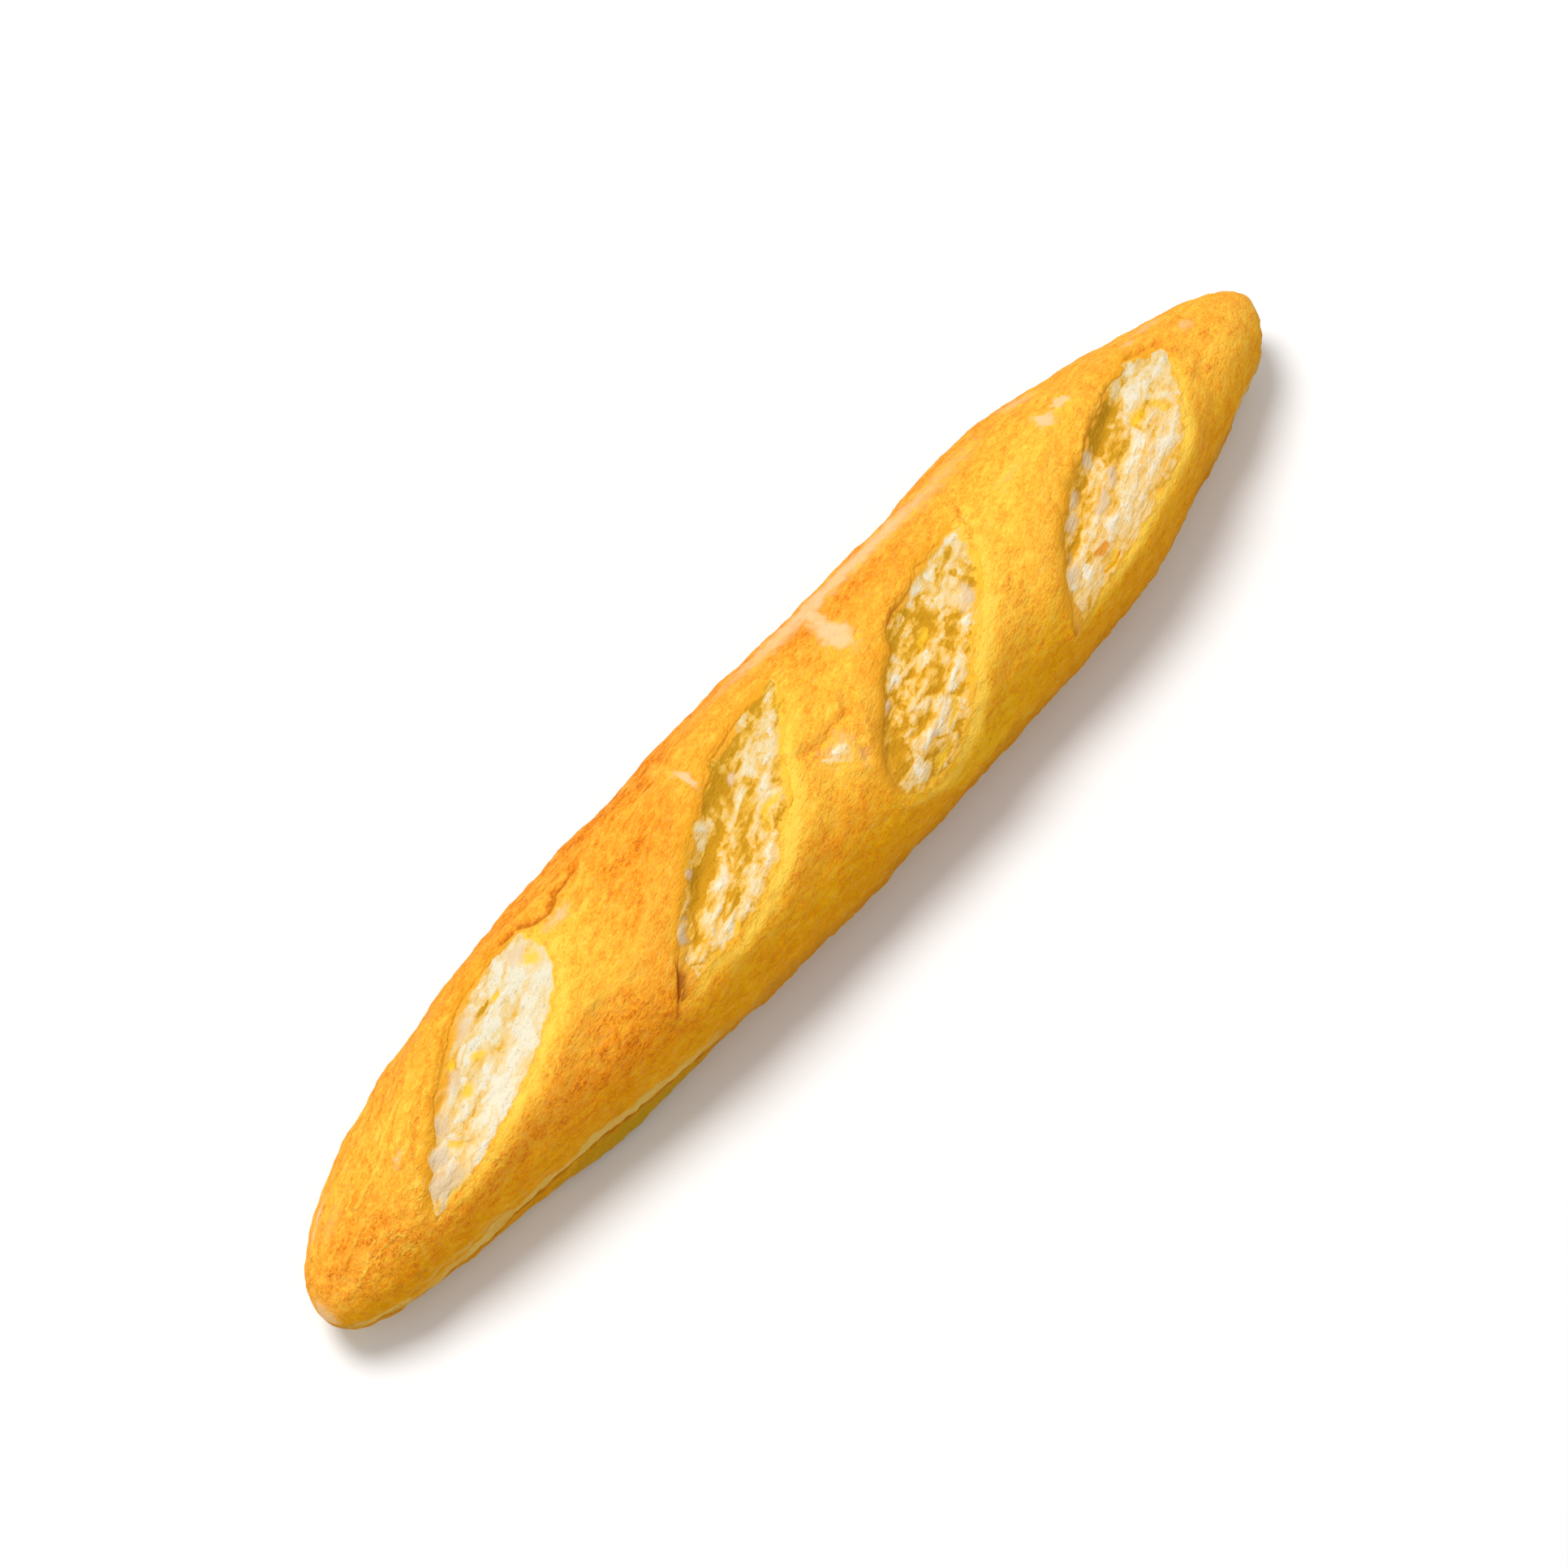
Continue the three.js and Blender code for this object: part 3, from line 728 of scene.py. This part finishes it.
def folds_in_crust(x, round_):
    """The folds' rise, darkness (painted shade in grooves) and paleness (painted highlight on
    ridges) at each place.
    """
    height, dark, pale = np.zeros((3, *x.shape))
    for places, width, tall, darker, paler in FOLDS:
        near = stroke(x, round_, places, width)
        height += tall * near
        dark = np.maximum(dark, darker * near)
        pale = np.maximum(pale, paler * near)
    return height, dark, pale


def bake_crust(x, round_):
    """How strongly each place is baked, from 0 (pale yellow) to 1 (brown)."""
    bake = 0.34 + 0.13 * smooth(-14, 2, round_) + 0.1 * smooth(-24, -38, round_)
    for at, reach, amount in BAKING:
        bake += amount * bell((x - at[0]) / reach[0]) * bell((round_ - at[1]) / reach[1])
    return bake


def flour_on_crust(x, round_):
    thick = np.zeros_like(x)
    for at, reach, amount in FLOUR:
        distance = np.hypot((x - at[0]) / reach[0], (round_ - at[1]) / reach[1])
        thick = np.maximum(thick, amount * smooth(1.9, 0.2, distance))
    return thick


def build_crust(settings):
    along = stations(settings.columns)
    around = turns(dome=settings.rows, heel=settings.rows // 5, base=6)
    piece = add_grid("crust", len(along) - 1, len(around) - 1)

    def unroll(points):
        x = np.interp(points[:, 0] * (len(along) - 1), np.arange(len(along)), along)
        turn = np.interp(points[:, 1] * (len(around) - 1), np.arange(len(around)), around)
        return x, turn

    # Smaller faces along the rims, in the folds and in the flour, so that they are crisp.
    centres = np.empty(len(piece.data.polygons) * 3)
    piece.data.polygons.foreach_get("center", centres)
    x, turn = unroll(centres.reshape(-1, 3))
    round_ = turn * GIRTH_RADIUS
    edge = cut_in_crust(x, round_)[3]
    _, dark, pale = folds_in_crust(x, round_)
    near_rim = (edge > -ROLL["inset"] - settings.band) & (edge < settings.band)
    folded = dark + pale > FINER_FROM["fold"]
    floury = flour_on_crust(x, round_) > FINER_FROM["flour"]
    select_faces(piece, near_rim | folded | floury)
    bpy.ops.mesh.subdivide(number_cuts=2, quadcorner="INNERVERT")
    leave_edit()

    x, turn = unroll(read_points(piece))
    round_ = turn * GIRTH_RADIUS
    plain = plain_points(x, turn)
    wobble = 0.5 * lumps(plain, 6.0, 2, 1) + 0.15 * lumps(plain, 1.8, 2, 2)
    cut = cut_in_crust(x, round_, wobble)
    drop, lean_x, lean_round, edge, low_rim, high_rim, roll_shade, lip = cut
    fold, dark, pale = folds_in_crust(x + 0.6 * lumps(plain, 3.0, 2, 3), round_ + 0.8 * wobble)
    leaned_x = np.clip(x + lean_x, -LENGTH / 2, LENGTH / 2)
    leaned = turn + lean_round / GIRTH_RADIUS
    above = smooth(1.5, 6, plain[:, 2]) * smooth(-0.8, 2.2, edge)
    flaky = 1 + 1.2 * smooth(-22, -34, round_) * smooth(-78, -66, round_)
    uneven = settings.swell * lumps(plain, 11.0, 3, 4)
    uneven += settings.grain * flaky * lumps(plain, 2.6, 2, 5)
    off_end = smooth(LENGTH / 2, LENGTH / 2 - SHUT, np.abs(x))
    height = off_end * (fold - drop + uneven * above)
    points = crust_points(leaned_x, leaned, height, raised=off_end * rise(x, turn))
    write_points(piece, to_metres(points))

    # Where the colours of the flanks and of the ends lie, with the painted shade low on the flanks.
    jitter = lumps(plain, 2.4, 3, 6)
    ragged = round_ + 0.8 * jitter
    left_end = bell((x + 128) / 24) * smooth(-34, -20, round_)
    foot = bell((x + 96) / 44)
    flaps = smooth(-45.5, -47, ragged) * bell((x + 77) / 26) * smooth(-62, -58, round_)
    seam = bell((round_ + 35.6 + 0.5 * jitter) / 1.1) * bell((x + 120) / 20)
    tip = bell((x + LENGTH / 2) / 1.4) * smooth(-40, -26, round_) * smooth(24, 8, round_)
    under = smooth(-37.5, -39.5, ragged) * smooth(-45, -42.5, round_)
    under *= 1.15 + 0.3 * lumps(plain, 8.0, 2, 8)
    ends = 0.8 * np.maximum(bell((x - 131) / 17), bell((x + 138) / 12))
    crevice = bell((round_ + 45.5) / 1.1) * smooth(0.2, 0.5, foot)
    heel = smooth(48, 54, np.abs(round_) + jitter)
    above_base = smooth(-60, -52, round_)
    # The foot tint and the olive tint: painted shade low on the flanks, partly their own tone.
    brim = smooth(-35, -43, ragged) * above_base * (1 - 0.7 * foot)
    olive = smooth(-24, -38, round_) * smooth(-58, -50, round_)
    flour = flour_on_crust(x + 0.7 * jitter, round_ + 0.9 * lumps(plain, 2.0, 3, 7))
    write_attributes(
        piece,
        grainy=0.8 + 0.1 * smooth(2, -22, round_) + 0.1 * left_end,
        wrinkled=0.35 + 0.65 * left_end,
        # Less bake along the low rims makes their ridges yellower, partly as painted highlight.
        bake=bake_crust(x, round_) - 0.36 * low_rim - 0.1 * smooth(0.2, -0.8, edge),
        # dark: painted shade in fold grooves, in the crease under an undercut lip and in the
        # crevice at the foot.
        dark=np.maximum.reduce([dark, high_rim * smooth(0.9, -0.3, edge), crevice]),
        # pale: painted highlight on fold ridges, low-rim ridges and lip tops; at the left tip, its
        # own pale patch.
        pale=np.maximum.reduce([pale, 0.8 * tip, 0.6 * low_rim, 0.3 * lip]),
        # rolled: painted shade where the crust rolls into a score.
        rolled=roll_shade,
        flour=np.maximum(flour, 0.85 * tip),
        foot=flaps,
        # The foot, low and olive tints: painted shade on the lower flanks, partly their own tone.
        brim=brim * (1 - 0.4 * smooth(20, 90, x)),
        low=smooth(-6, -30, round_) * above_base * (1 - 0.9 * low_rim),
        # Less olive at about x = 26: painted highlight on the swell low on the flank.
        olive=olive * (1 - 0.85 * bell((x - 26) / 16)),
        under=np.clip(under * np.maximum(foot, ends) + 0.8 * heel + 0.7 * seam, 0, 1),
    )
    close_seams()
    return piece


def paint_crust(settings):
    paint = Paint("crust")
    coarse = paint.noise(6.0, 3, 0.55)
    streaks = paint.noise(1.3, 4, 0.6, stretch=4.0, turn=24, seed=3)
    grain = paint.noise(1.7, 5, 0.62, stretch=2.0, turn=14, seed=1)
    fine = paint.noise(0.5, 3, 0.6, stretch=1.9, turn=14, seed=2)
    dust = paint.noise(0.3, 2, 0.6, stretch=1.8, turn=20, seed=6)
    grainy = paint.measure("grainy")
    # Wrinkle crests: relief in the bump, and painted highlight in the colour, paler and yellower.
    folds = paint.noise(2.6, 3, 0.6, stretch=2.4, turn=22, seed=4)
    crest = paint.math("MULTIPLY_ADD", paint.math("ABSOLUTE", folds, 0.0), -3.2, 1.0)
    crest = paint.math("MULTIPLY", paint.math("MAXIMUM", crest, 0.0), paint.measure("wrinkled"))
    crest = paint.math("MULTIPLY", crest, paint.smooth(coarse, -0.3, 0.7))
    mottle = paint.total((streaks, 0.16), (grain, 0.26), (fine, 0.32), (dust, 0.22))
    mottle = paint.math("MULTIPLY_ADD", crest, -0.5, paint.math("MULTIPLY", mottle, grainy))
    bake = paint.total((paint.measure("bake"), 1.0), (coarse, 0.18), (mottle, 1.0))
    colour = paint.ramp(bake, (
        (0.0, settings.yellow), (0.3, settings.golden), (0.62, settings.orange),
        (0.85, settings.deep), (1.0, settings.brown)))
    patchy = paint.smooth(coarse, -1.0, 0.6, 0.3, 0.75)
    # Painted shade on the side away from the light: olive, the low tint and the foot's tint darken
    # the lower flanks, partly their own tone.
    olive = paint.math("MULTIPLY", paint.measure("olive"), patchy)
    colour = paint.mix(olive, colour, settings.olive)
    colour = paint.tint(paint.measure("low"), colour, settings.low)
    colour = paint.tint(paint.measure("brim"), colour, settings.brim)
    specks = paint.smooth(paint.total((grain, 0.5), (fine, 0.6), (dust, 0.6)), 0.0, 1.2, 0.0, 0.62)
    colour = paint.tint(paint.math("MULTIPLY", specks, grainy), colour, settings.speck)
    glints = paint.smooth(paint.total((grain, -0.5), (fine, 0.6), (dust, 0.6)), 0.1, 1.2, 0.0, 0.36)
    colour = paint.mix(glints, colour, settings.glint)
    for name, over, low, high, most, *uneven in (
        # Painted highlight: the crest colour lightens ridges, lip tops and wrinkle crests.
        ("pale", settings.crest, 0.2, 1.0, 0.75,
         (streaks, 0.15), (grain, 0.16), (fine, 0.1), (crest, 0.5)),
        # Painted shade where the crust rolls into a score.
        ("rolled", settings.rolled, 0.15, 1.0, 0.9, (grain, 0.16), (fine, 0.1)),
        ("under", settings.base, 0.15, 1.1, 1.0, (grain, 0.3), (fine, 0.2), (coarse, 0.2)),
        ("foot", settings.foot, 0.2, 1.1, 1.0, (grain, 0.35), (fine, 0.2)),
        # Painted shade: the crease colour darkens creases, fold grooves and the foot's crevice.
        ("dark", settings.crease, 0.2, 1.0, 0.75, (grain, 0.16), (fine, 0.1)),
        ("flour", settings.flour, 0.1, 1.0, 0.92, (grain, 0.16), (fine, 0.16), (streaks, 0.14)),
    ):
        colour = paint.cover(colour, name, over, low, high, most, *uneven)
    paint.show("Base Color", colour)
    rough = paint.smooth(paint.total((grain, 0.5), (fine, 0.5)), -1, 1, 0.5, 0.8)
    paint.show("Roughness", rough)
    paint.show("Specular IOR Level", 0.02)
    paint.bump((coarse, 0.12), (streaks, 0.07), (grain, 0.13), (fine, 0.07), (dust, 0.015),
               (crest, 0.2))
    return paint.material


# ---- the crumb ----

PULL = 2.2  # how much longer than wide the clumps of the crumb are
BELOW = 2.0  # how far below the open scores the crumb is drawn together
APART = 40.0  # keeps the unevenness of one score apart from another's


def build_crumb(score, name, seed, settings):
    marks = score.marks
    long = score.stop - score.start + 2 * settings.under
    stops = np.linspace(score.start, score.stop, 60)
    wide = float((score.high_at(stops) - score.low_at(stops)).max()) + 2 * settings.under
    piece = add_grid(name, int(long / settings.step), int(wide / settings.step))
    share = read_points(piece)
    s = score.start - settings.under + share[:, 0] * long
    inside = np.clip(s, score.start, score.stop)
    low, high = score.low_at(inside), score.high_at(inside)
    t = low - settings.under + share[:, 1] * (high - low + 2 * settings.under)

    layer = np.full_like(s, APART * seed)
    flat = np.stack([s, t, layer], axis=-1)
    bend_s, bend_t = lumps(flat, 7.0, 2, seed), lumps(flat, 7.0, 2, seed + 9)
    warped_s, warped_t = s + 1.2 * bend_s, t + bend_t
    slant = math.radians(settings.slant) - score.angle
    cos, sin = math.cos(slant), math.sin(slant)
    along, aside = warped_s * cos + warped_t * sin, warped_t * cos - warped_s * sin
    pulled = np.stack([along / PULL, aside, layer], axis=-1)
    big, big_tone = clumps(pulled, 3.0, seed)
    small, small_tone = clumps(pulled * (1.4, 1, 1), 1.3, seed + 3)
    soft = lumps(pulled, 4.5, 3, seed + 1)
    fine = lumps(flat, 0.8, 2, seed + 5)
    crease = score.along("crease", s)
    band = score.along("band", warped_s + 1.5 * soft)
    cream, grey, yellow, olive, spot = (
        score.amount(kind, warped_s, warped_t)
        for kind in ("cream", "grey", "yellow", "olive", "spot"))

    across = score.across(s, t)
    calm = 1 - marks["calm"] * smooth(0.42, 0.16, across)
    relief = marks["rough"] * calm * (0.12 * soft + 0.07 * big + 0.025 * small + 0.015 * fine)
    relief += 0.3 * cream + 0.35 * grey - 0.25 * yellow - 0.45 * olive
    past_high, past_low = score.past(inside, t)
    past = np.maximum(past_high, past_low - marks["spill"])
    past = np.where(s == inside, past, np.hypot(np.maximum(past, 0), s - inside))
    rim = smooth(-2.0, 0.2, past)
    past = past + marks["ragged"] * smooth(0.75, 0.45, across) * lumps(flat, 2.4, 3, seed + 7)
    height = score.floor(s, t) + relief * (1 - 0.95 * rim) - 1.2 * smooth(-0.4, 2.6, past)
    height -= 0.9 * crease * bell((high - t - 0.5) / 0.9)
    high_end = smooth(0.5, 0.25, score.full(s)) * smooth(0.5, 0.9, across)
    height -= 0.6 * high_end * smooth(-0.8, 0.6, past)

    x, round_ = score.on_crust(s, t)
    points = crust_points(x, round_ / GIRTH_RADIUS, height)
    write_points(piece, to_metres(points))
    # baked: the band under the high rim. Where the lip is not creased it takes the wall colour,
    # painted shade where the crust rolls in.
    baked = smooth(0.9, -0.5, high - t - band - 1.1 * bend_t - soft - 0.4 * small_tone)
    baked *= 1 - grey
    # Clump tones vary at random; big and small, the clump heights, make clump tops lighter and the
    # gaps darker, as painted shade.
    shade = 0.2 * soft + 0.32 * big_tone + 0.1 * big + 0.22 * small_tone + 0.06 * small
    # light: the crumb's own tone from its patches, with painted shade between clumps, in olive
    # hollows and towards the high rim under the lip.
    light = (marks["base"] + 0.48 * cream - 0.45 * olive - 0.12 * yellow + 0.05 * fine
             + marks["rough"] * (0.4 + 0.6 * calm) * shade
             - 0.25 * smooth(0.55, 1.0, across) * (1 - cream))
    write_attributes(
        piece,
        light=light,
        uneven=0.2 + 0.8 * calm,
        grey=grey + 0.25 * smooth(0.5, 1.1, -small_tone * calm),
        yellow=yellow,
        spot=spot,
        baked=baked,
        # dark: painted shade on the baked floor under undercut lips, strongest at the scores'
        # narrow ends.
        dark=baked * crease * crease * np.maximum(smooth(5.5, 1.6, high - t), 0.38),
        lip=crease,
        # lit: where painted shade darkens the crumb near the crown, against the stronger key light
        # there.
        lit=smooth(-14, 6, round_),
        edge=smooth(-marks["gold"], 0.2, past + 0.4 * bend_s),
    )

    # Closed below: the outer edge is drawn together in one point under the crumb.
    edit()
    bpy.ops.mesh.select_all(action="SELECT")
    bpy.ops.mesh.region_to_loop()
    bpy.ops.mesh.extrude_edges_move()
    leave_edit()
    closed = read_points(piece)
    middle = np.array([0.5 * (score.start + score.stop)])
    x, round_ = score.on_crust(middle, 0.5 * (score.low_at(middle) + score.high_at(middle)))
    below = np.array([-score.deep - POCKET - BELOW])
    closed[len(points):] = to_metres(crust_points(x, round_ / GIRTH_RADIUS, below))
    write_points(piece, closed)
    close_seams()
    return piece


def paint_crumb(settings):
    paint = Paint("crumb")
    soft = paint.noise(1.7, 4, 0.6)
    fine = paint.noise(0.5, 3, 0.65, seed=1)
    streaks = paint.noise(0.9, 3, 0.6, stretch=3.4, turn=settings.slant, seed=5)
    strands = paint.noise(2.2, 2, 0.5, stretch=2.4, turn=settings.slant, seed=6)
    uneven = paint.total((soft, 0.12), (fine, 0.1), (streaks, 0.26), (strands, 0.2))
    light = paint.math("MULTIPLY_ADD", uneven, paint.measure("uneven"), paint.measure("light"))
    colour = paint.ramp(light, (
        (0.0, settings.olive), (0.26, settings.straw), (0.5, settings.cream), (0.76, settings.pale),
        (1.0, settings.white)))
    # Painted shade in fine pits of the crumb.
    pits = paint.smooth(paint.total((soft, 0.4), (fine, 0.9), (streaks, -0.3)), 0.0, 1.1, 0.0, 0.7)
    colour = paint.tint(pits, colour, settings.pit)
    # Painted shade: the crumb near the crown, where the key light is strongest, is darkened.
    colour = paint.tint(paint.measure("lit"), colour, settings.lit)
    # wall: painted shade on the rolled-in high side; baked: the band's own baked colour under
    # creased lips.
    wall = paint.mix(paint.measure("lip"), settings.wall, settings.baked)
    for name, over, low, high, most, *uneven in (
        ("grey", settings.grey, 0.25, 0.9, 0.8, (soft, 0.12), (fine, 0.08)),
        ("yellow", settings.yellow, 0.3, 0.95, 0.85, (soft, 0.26), (fine, 0.16), (streaks, 0.3)),
        ("spot", settings.spot, 0.35, 0.7, 0.9, (soft, 0.12), (fine, 0.08)),
        ("edge", settings.rim, 0.3, 0.9, 0.9, (soft, 0.3), (fine, 0.2), (streaks, 0.2)),
        ("baked", wall, 0.25, 0.9, 0.95, (soft, 0.18), (fine, 0.12)),
        # Painted shade under undercut lips, mostly at the scores' ends.
        ("dark", settings.dark, 0.1, 0.75, 0.9, (soft, 0.1), (fine, 0.08)),
    ):
        colour = paint.cover(colour, name, over, low, high, most, *uneven)
    paint.show("Base Color", colour)
    paint.show("Roughness", 0.85)
    paint.show("Specular IOR Level", 0.15)
    pores = paint.smooth(paint.cells(0.85, seed=2), 0.0, 0.45)
    paint.bump((soft, 0.05), (streaks, 0.09), (strands, 0.12), (fine, 0.02), (pores, 0.02))
    return paint.material


# ---- settings a user would change ----


def colour_setting(name, description, red, green, blue):
    return FloatVectorProperty(name=name, description=description, subtype="COLOR", size=3,
                               min=0, max=1, default=srgb(red, green, blue))


def number_setting(name, description, default, least=0.0):
    return FloatProperty(name=name, description=description, default=default, min=least)


class CrustSettings(bpy.types.PropertyGroup):
    """Sizes and colours of the crust"""
    columns: IntProperty(name="Columns", description="Faces along the loaf", default=332, min=40)
    rows: IntProperty(name="Rows", description="Faces over the dome", default=96, min=20)
    band: number_setting("Rim band", "Reach of the finer faces at a rim, mm", 1.7)
    swell: number_setting("Swell", "Height of the crust's broad unevenness, mm", 0.35)
    grain: number_setting("Grain", "Height of the crust's small unevenness, mm", 0.14)
    yellow: colour_setting("Yellow", "Where it is baked least", 255, 206, 80)
    golden: colour_setting("Golden", "Most of the crust", 254, 187, 59)
    orange: colour_setting("Orange", "Where it is baked well", 250, 161, 46)
    deep: colour_setting("Deep orange", "Where it is baked more", 236, 136, 24)
    brown: colour_setting("Brown", "Where it is baked most", 206, 110, 14)
    # Olive, Low tint and Brim darken the lower flanks and their foot: partly their own tone, partly
    # painted shade.
    olive: colour_setting("Olive", "Low on the flanks", 240, 174, 4)
    low: colour_setting("Low tint", "Multiplies the colours of the flanks", 238, 225, 66)
    brim: colour_setting("Brim", "Multiplies the colours at the foot of the flanks", 220, 212, 112)
    # Painted highlight on ridges, lip tops and wrinkle crests.
    crest: colour_setting("Crest", "Ridges and wrinkles", 255, 204, 74)
    speck: colour_setting("Speck tint", "Multiplies the colours in fine dark specks", 214, 190, 160)
    glint: colour_setting("Glint", "Fine pale specks", 255, 220, 130)
    # Painted shade in creases, fold grooves and the crevice at the foot.
    crease: colour_setting("Crease", "In creases and folds", 170, 92, 8)
    flour: colour_setting("Flour", "Patches of flour", 242, 196, 142)
    # Painted shade where the crust rolls into a score.
    rolled: colour_setting("Rolled in", "Where the crust rolls into a score", 232, 160, 36)
    base: colour_setting("Base", "The pale base and heels", 220, 182, 88)
    foot: colour_setting("Foot", "The olive-brown flaps at the foot", 190, 146, 26)


class CrumbSettings(bpy.types.PropertyGroup):
    """Sizes and colours of the crumb in the scores"""
    step: number_setting("Step", "Size of its faces, mm", 0.26, least=0.1)
    under: number_setting("Under the rims", "How far it reaches under the crust, mm", 2.4)
    slant: number_setting("Slant", "Which way the crumb is pulled, degrees", 19.0, least=-90)
    white: colour_setting("White", "The lightest crumb", 243, 229, 200)
    pale: colour_setting("Pale", "Most of the crumb of the outer scores", 244, 214, 158)
    cream: colour_setting("Cream", "Most of the crumb of the middle scores", 243, 201, 126)
    straw: colour_setting("Straw", "Between crests and hollows", 239, 181, 64)
    # Painted shade: the dark end of the crumb's lightness, in hollows.
    olive: colour_setting("Olive", "Hollows", 208, 148, 22)
    grey: colour_setting("Grey", "Greyish lumps", 217, 190, 153)
    yellow: colour_setting("Yellow", "Yellow bits", 248, 194, 46)
    spot: colour_setting("Spot", "A baked spot in the last score", 232, 148, 36)
    rim: colour_setting("Rim", "Where it meets the crust", 254, 190, 54)
    # Painted shade on the high side where the crust rolls into the score.
    wall: colour_setting("Wall", "The high side where the crust rolls into the score", 224, 160, 34)
    baked: colour_setting("Baked", "The baked band under the lips", 246, 172, 54)
    # Painted shade under undercut lips at the ends of the scores.
    dark: colour_setting("Dark", "The ends of the scores", 176, 98, 12)
    # Painted shade: darkens the crumb near the crown, where the key light is strongest.
    lit: colour_setting("Top tint", "Multiplies the colours near the crown", 233, 238, 240)
    # Painted shade in fine pits.
    pit: colour_setting("Pit tint", "Multiplies the colours in fine pits", 206, 198, 184)


class StageSettings(bpy.types.PropertyGroup):
    """Lights of the stage"""
    key: number_setting("Key light", "Power of the key light, W", 10.2)
    sky: number_setting("Sky light", "Strength of the light from all round", 0.57)


class BREAD_OT_set_stage(bpy.types.Operator):
    """Set the floor, the lights and the camera"""
    bl_idname = "bread.set_stage"
    bl_label = "Set stage"

    def execute(self, context):
        scene = context.scene
        settings = scene.bread_stage
        deselect()
        bpy.ops.mesh.primitive_plane_add(size=6)
        floor = context.object
        floor.name = "floor"
        paint = Paint("floor")
        paint.show("Base Color", (0.9, 0.9, 0.9))
        paint.show("Roughness", 0.9)
        floor.data.materials.append(paint.material)
        world = bpy.data.worlds.new("studio")
        world.use_nodes = True
        sky = world.node_tree.nodes["Background"]
        sky.inputs["Color"].default_value = (1, 1, 1, 1)
        sky.inputs["Strength"].default_value = settings.sky
        scene.world = world
        lamp = bpy.data.lights.new("key", "AREA")
        lamp.shape = "DISK"
        lamp.size = 0.5
        lamp.energy = settings.key
        key = bpy.data.objects.new("key", lamp)
        scene.collection.objects.link(key)
        key.location = (-0.1, 0.42, 1.08)
        loaf = Vector((0, 0, 0.02))  # about its middle
        key.rotation_euler = (loaf - key.location).to_track_quat("-Z", "Y").to_euler()

        camera = bpy.data.cameras.new("camera")
        camera.lens = 85
        camera.sensor_width = 36
        eye = bpy.data.objects.new("camera", camera)
        scene.collection.objects.link(eye)
        azimuth, elevation, distance = math.radians(-48.43), math.radians(66), 0.7649
        back = Vector((math.sin(azimuth) * math.cos(elevation),
                       -math.cos(azimuth) * math.cos(elevation), math.sin(elevation)))
        aim = Vector((-6.33, 1.97 + SIDEWAYS, 18)) * MM
        eye.location = aim + back * distance
        eye.rotation_euler = back.to_track_quat("Z", "Y").to_euler()
        scene.camera = eye
        scene.view_settings.view_transform = "Standard"
        return {"FINISHED"}


class BREAD_OT_add_crust(bpy.types.Operator):
    """Model the crust with its lips, ridges and open scores"""
    bl_idname = "bread.add_crust"
    bl_label = "Add crust"

    def execute(self, context):
        settings = context.scene.bread_crust
        finish(build_crust(settings), paint_crust(settings))
        return {"FINISHED"}


class BREAD_OT_add_crumb(bpy.types.Operator):
    """Model the torn crumb in each score and in the small tear"""
    bl_idname = "bread.add_crumb"
    bl_label = "Add crumb"

    def execute(self, context):
        settings = context.scene.bread_crumb
        material = paint_crumb(settings)
        names = [f"crumb_{number}" for number in range(1, len(SCORES) + 1)] + ["crumb_tear"]
        for seed, (score, name) in enumerate(zip((*SCORES, TEAR), names), 11):
            finish(build_crumb(score, name, seed, settings), material)
        return {"FINISHED"}


class BREAD_PT_panel(bpy.types.Panel):
    """The baguette's operators, in the order they are run"""
    bl_idname = "BREAD_PT_panel"
    bl_label = "Baguette"
    bl_space_type = "VIEW_3D"
    bl_region_type = "UI"
    bl_category = "Baguette"

    def draw(self, context):
        for name in OPERATORS:
            self.layout.operator(name)


OPERATORS = ("bread.set_stage", "bread.add_crust", "bread.add_crumb")
SETTINGS = {
    "bread_stage": StageSettings,
    "bread_crust": CrustSettings,
    "bread_crumb": CrumbSettings,
}
CLASSES = (*SETTINGS.values(), BREAD_OT_set_stage, BREAD_OT_add_crust, BREAD_OT_add_crumb,
           BREAD_PT_panel)


def register():
    for each in CLASSES:
        bpy.utils.register_class(each)
    for name, group in SETTINGS.items():
        setattr(bpy.types.Scene, name, PointerProperty(type=group))


def unregister():
    for name in SETTINGS:
        delattr(bpy.types.Scene, name)
    for each in reversed(CLASSES):
        bpy.utils.unregister_class(each)


def main():
    register()
    bpy.ops.bread.set_stage()
    bpy.ops.bread.add_crust()
    bpy.ops.bread.add_crumb()


if __name__ == "__main__":
    main()
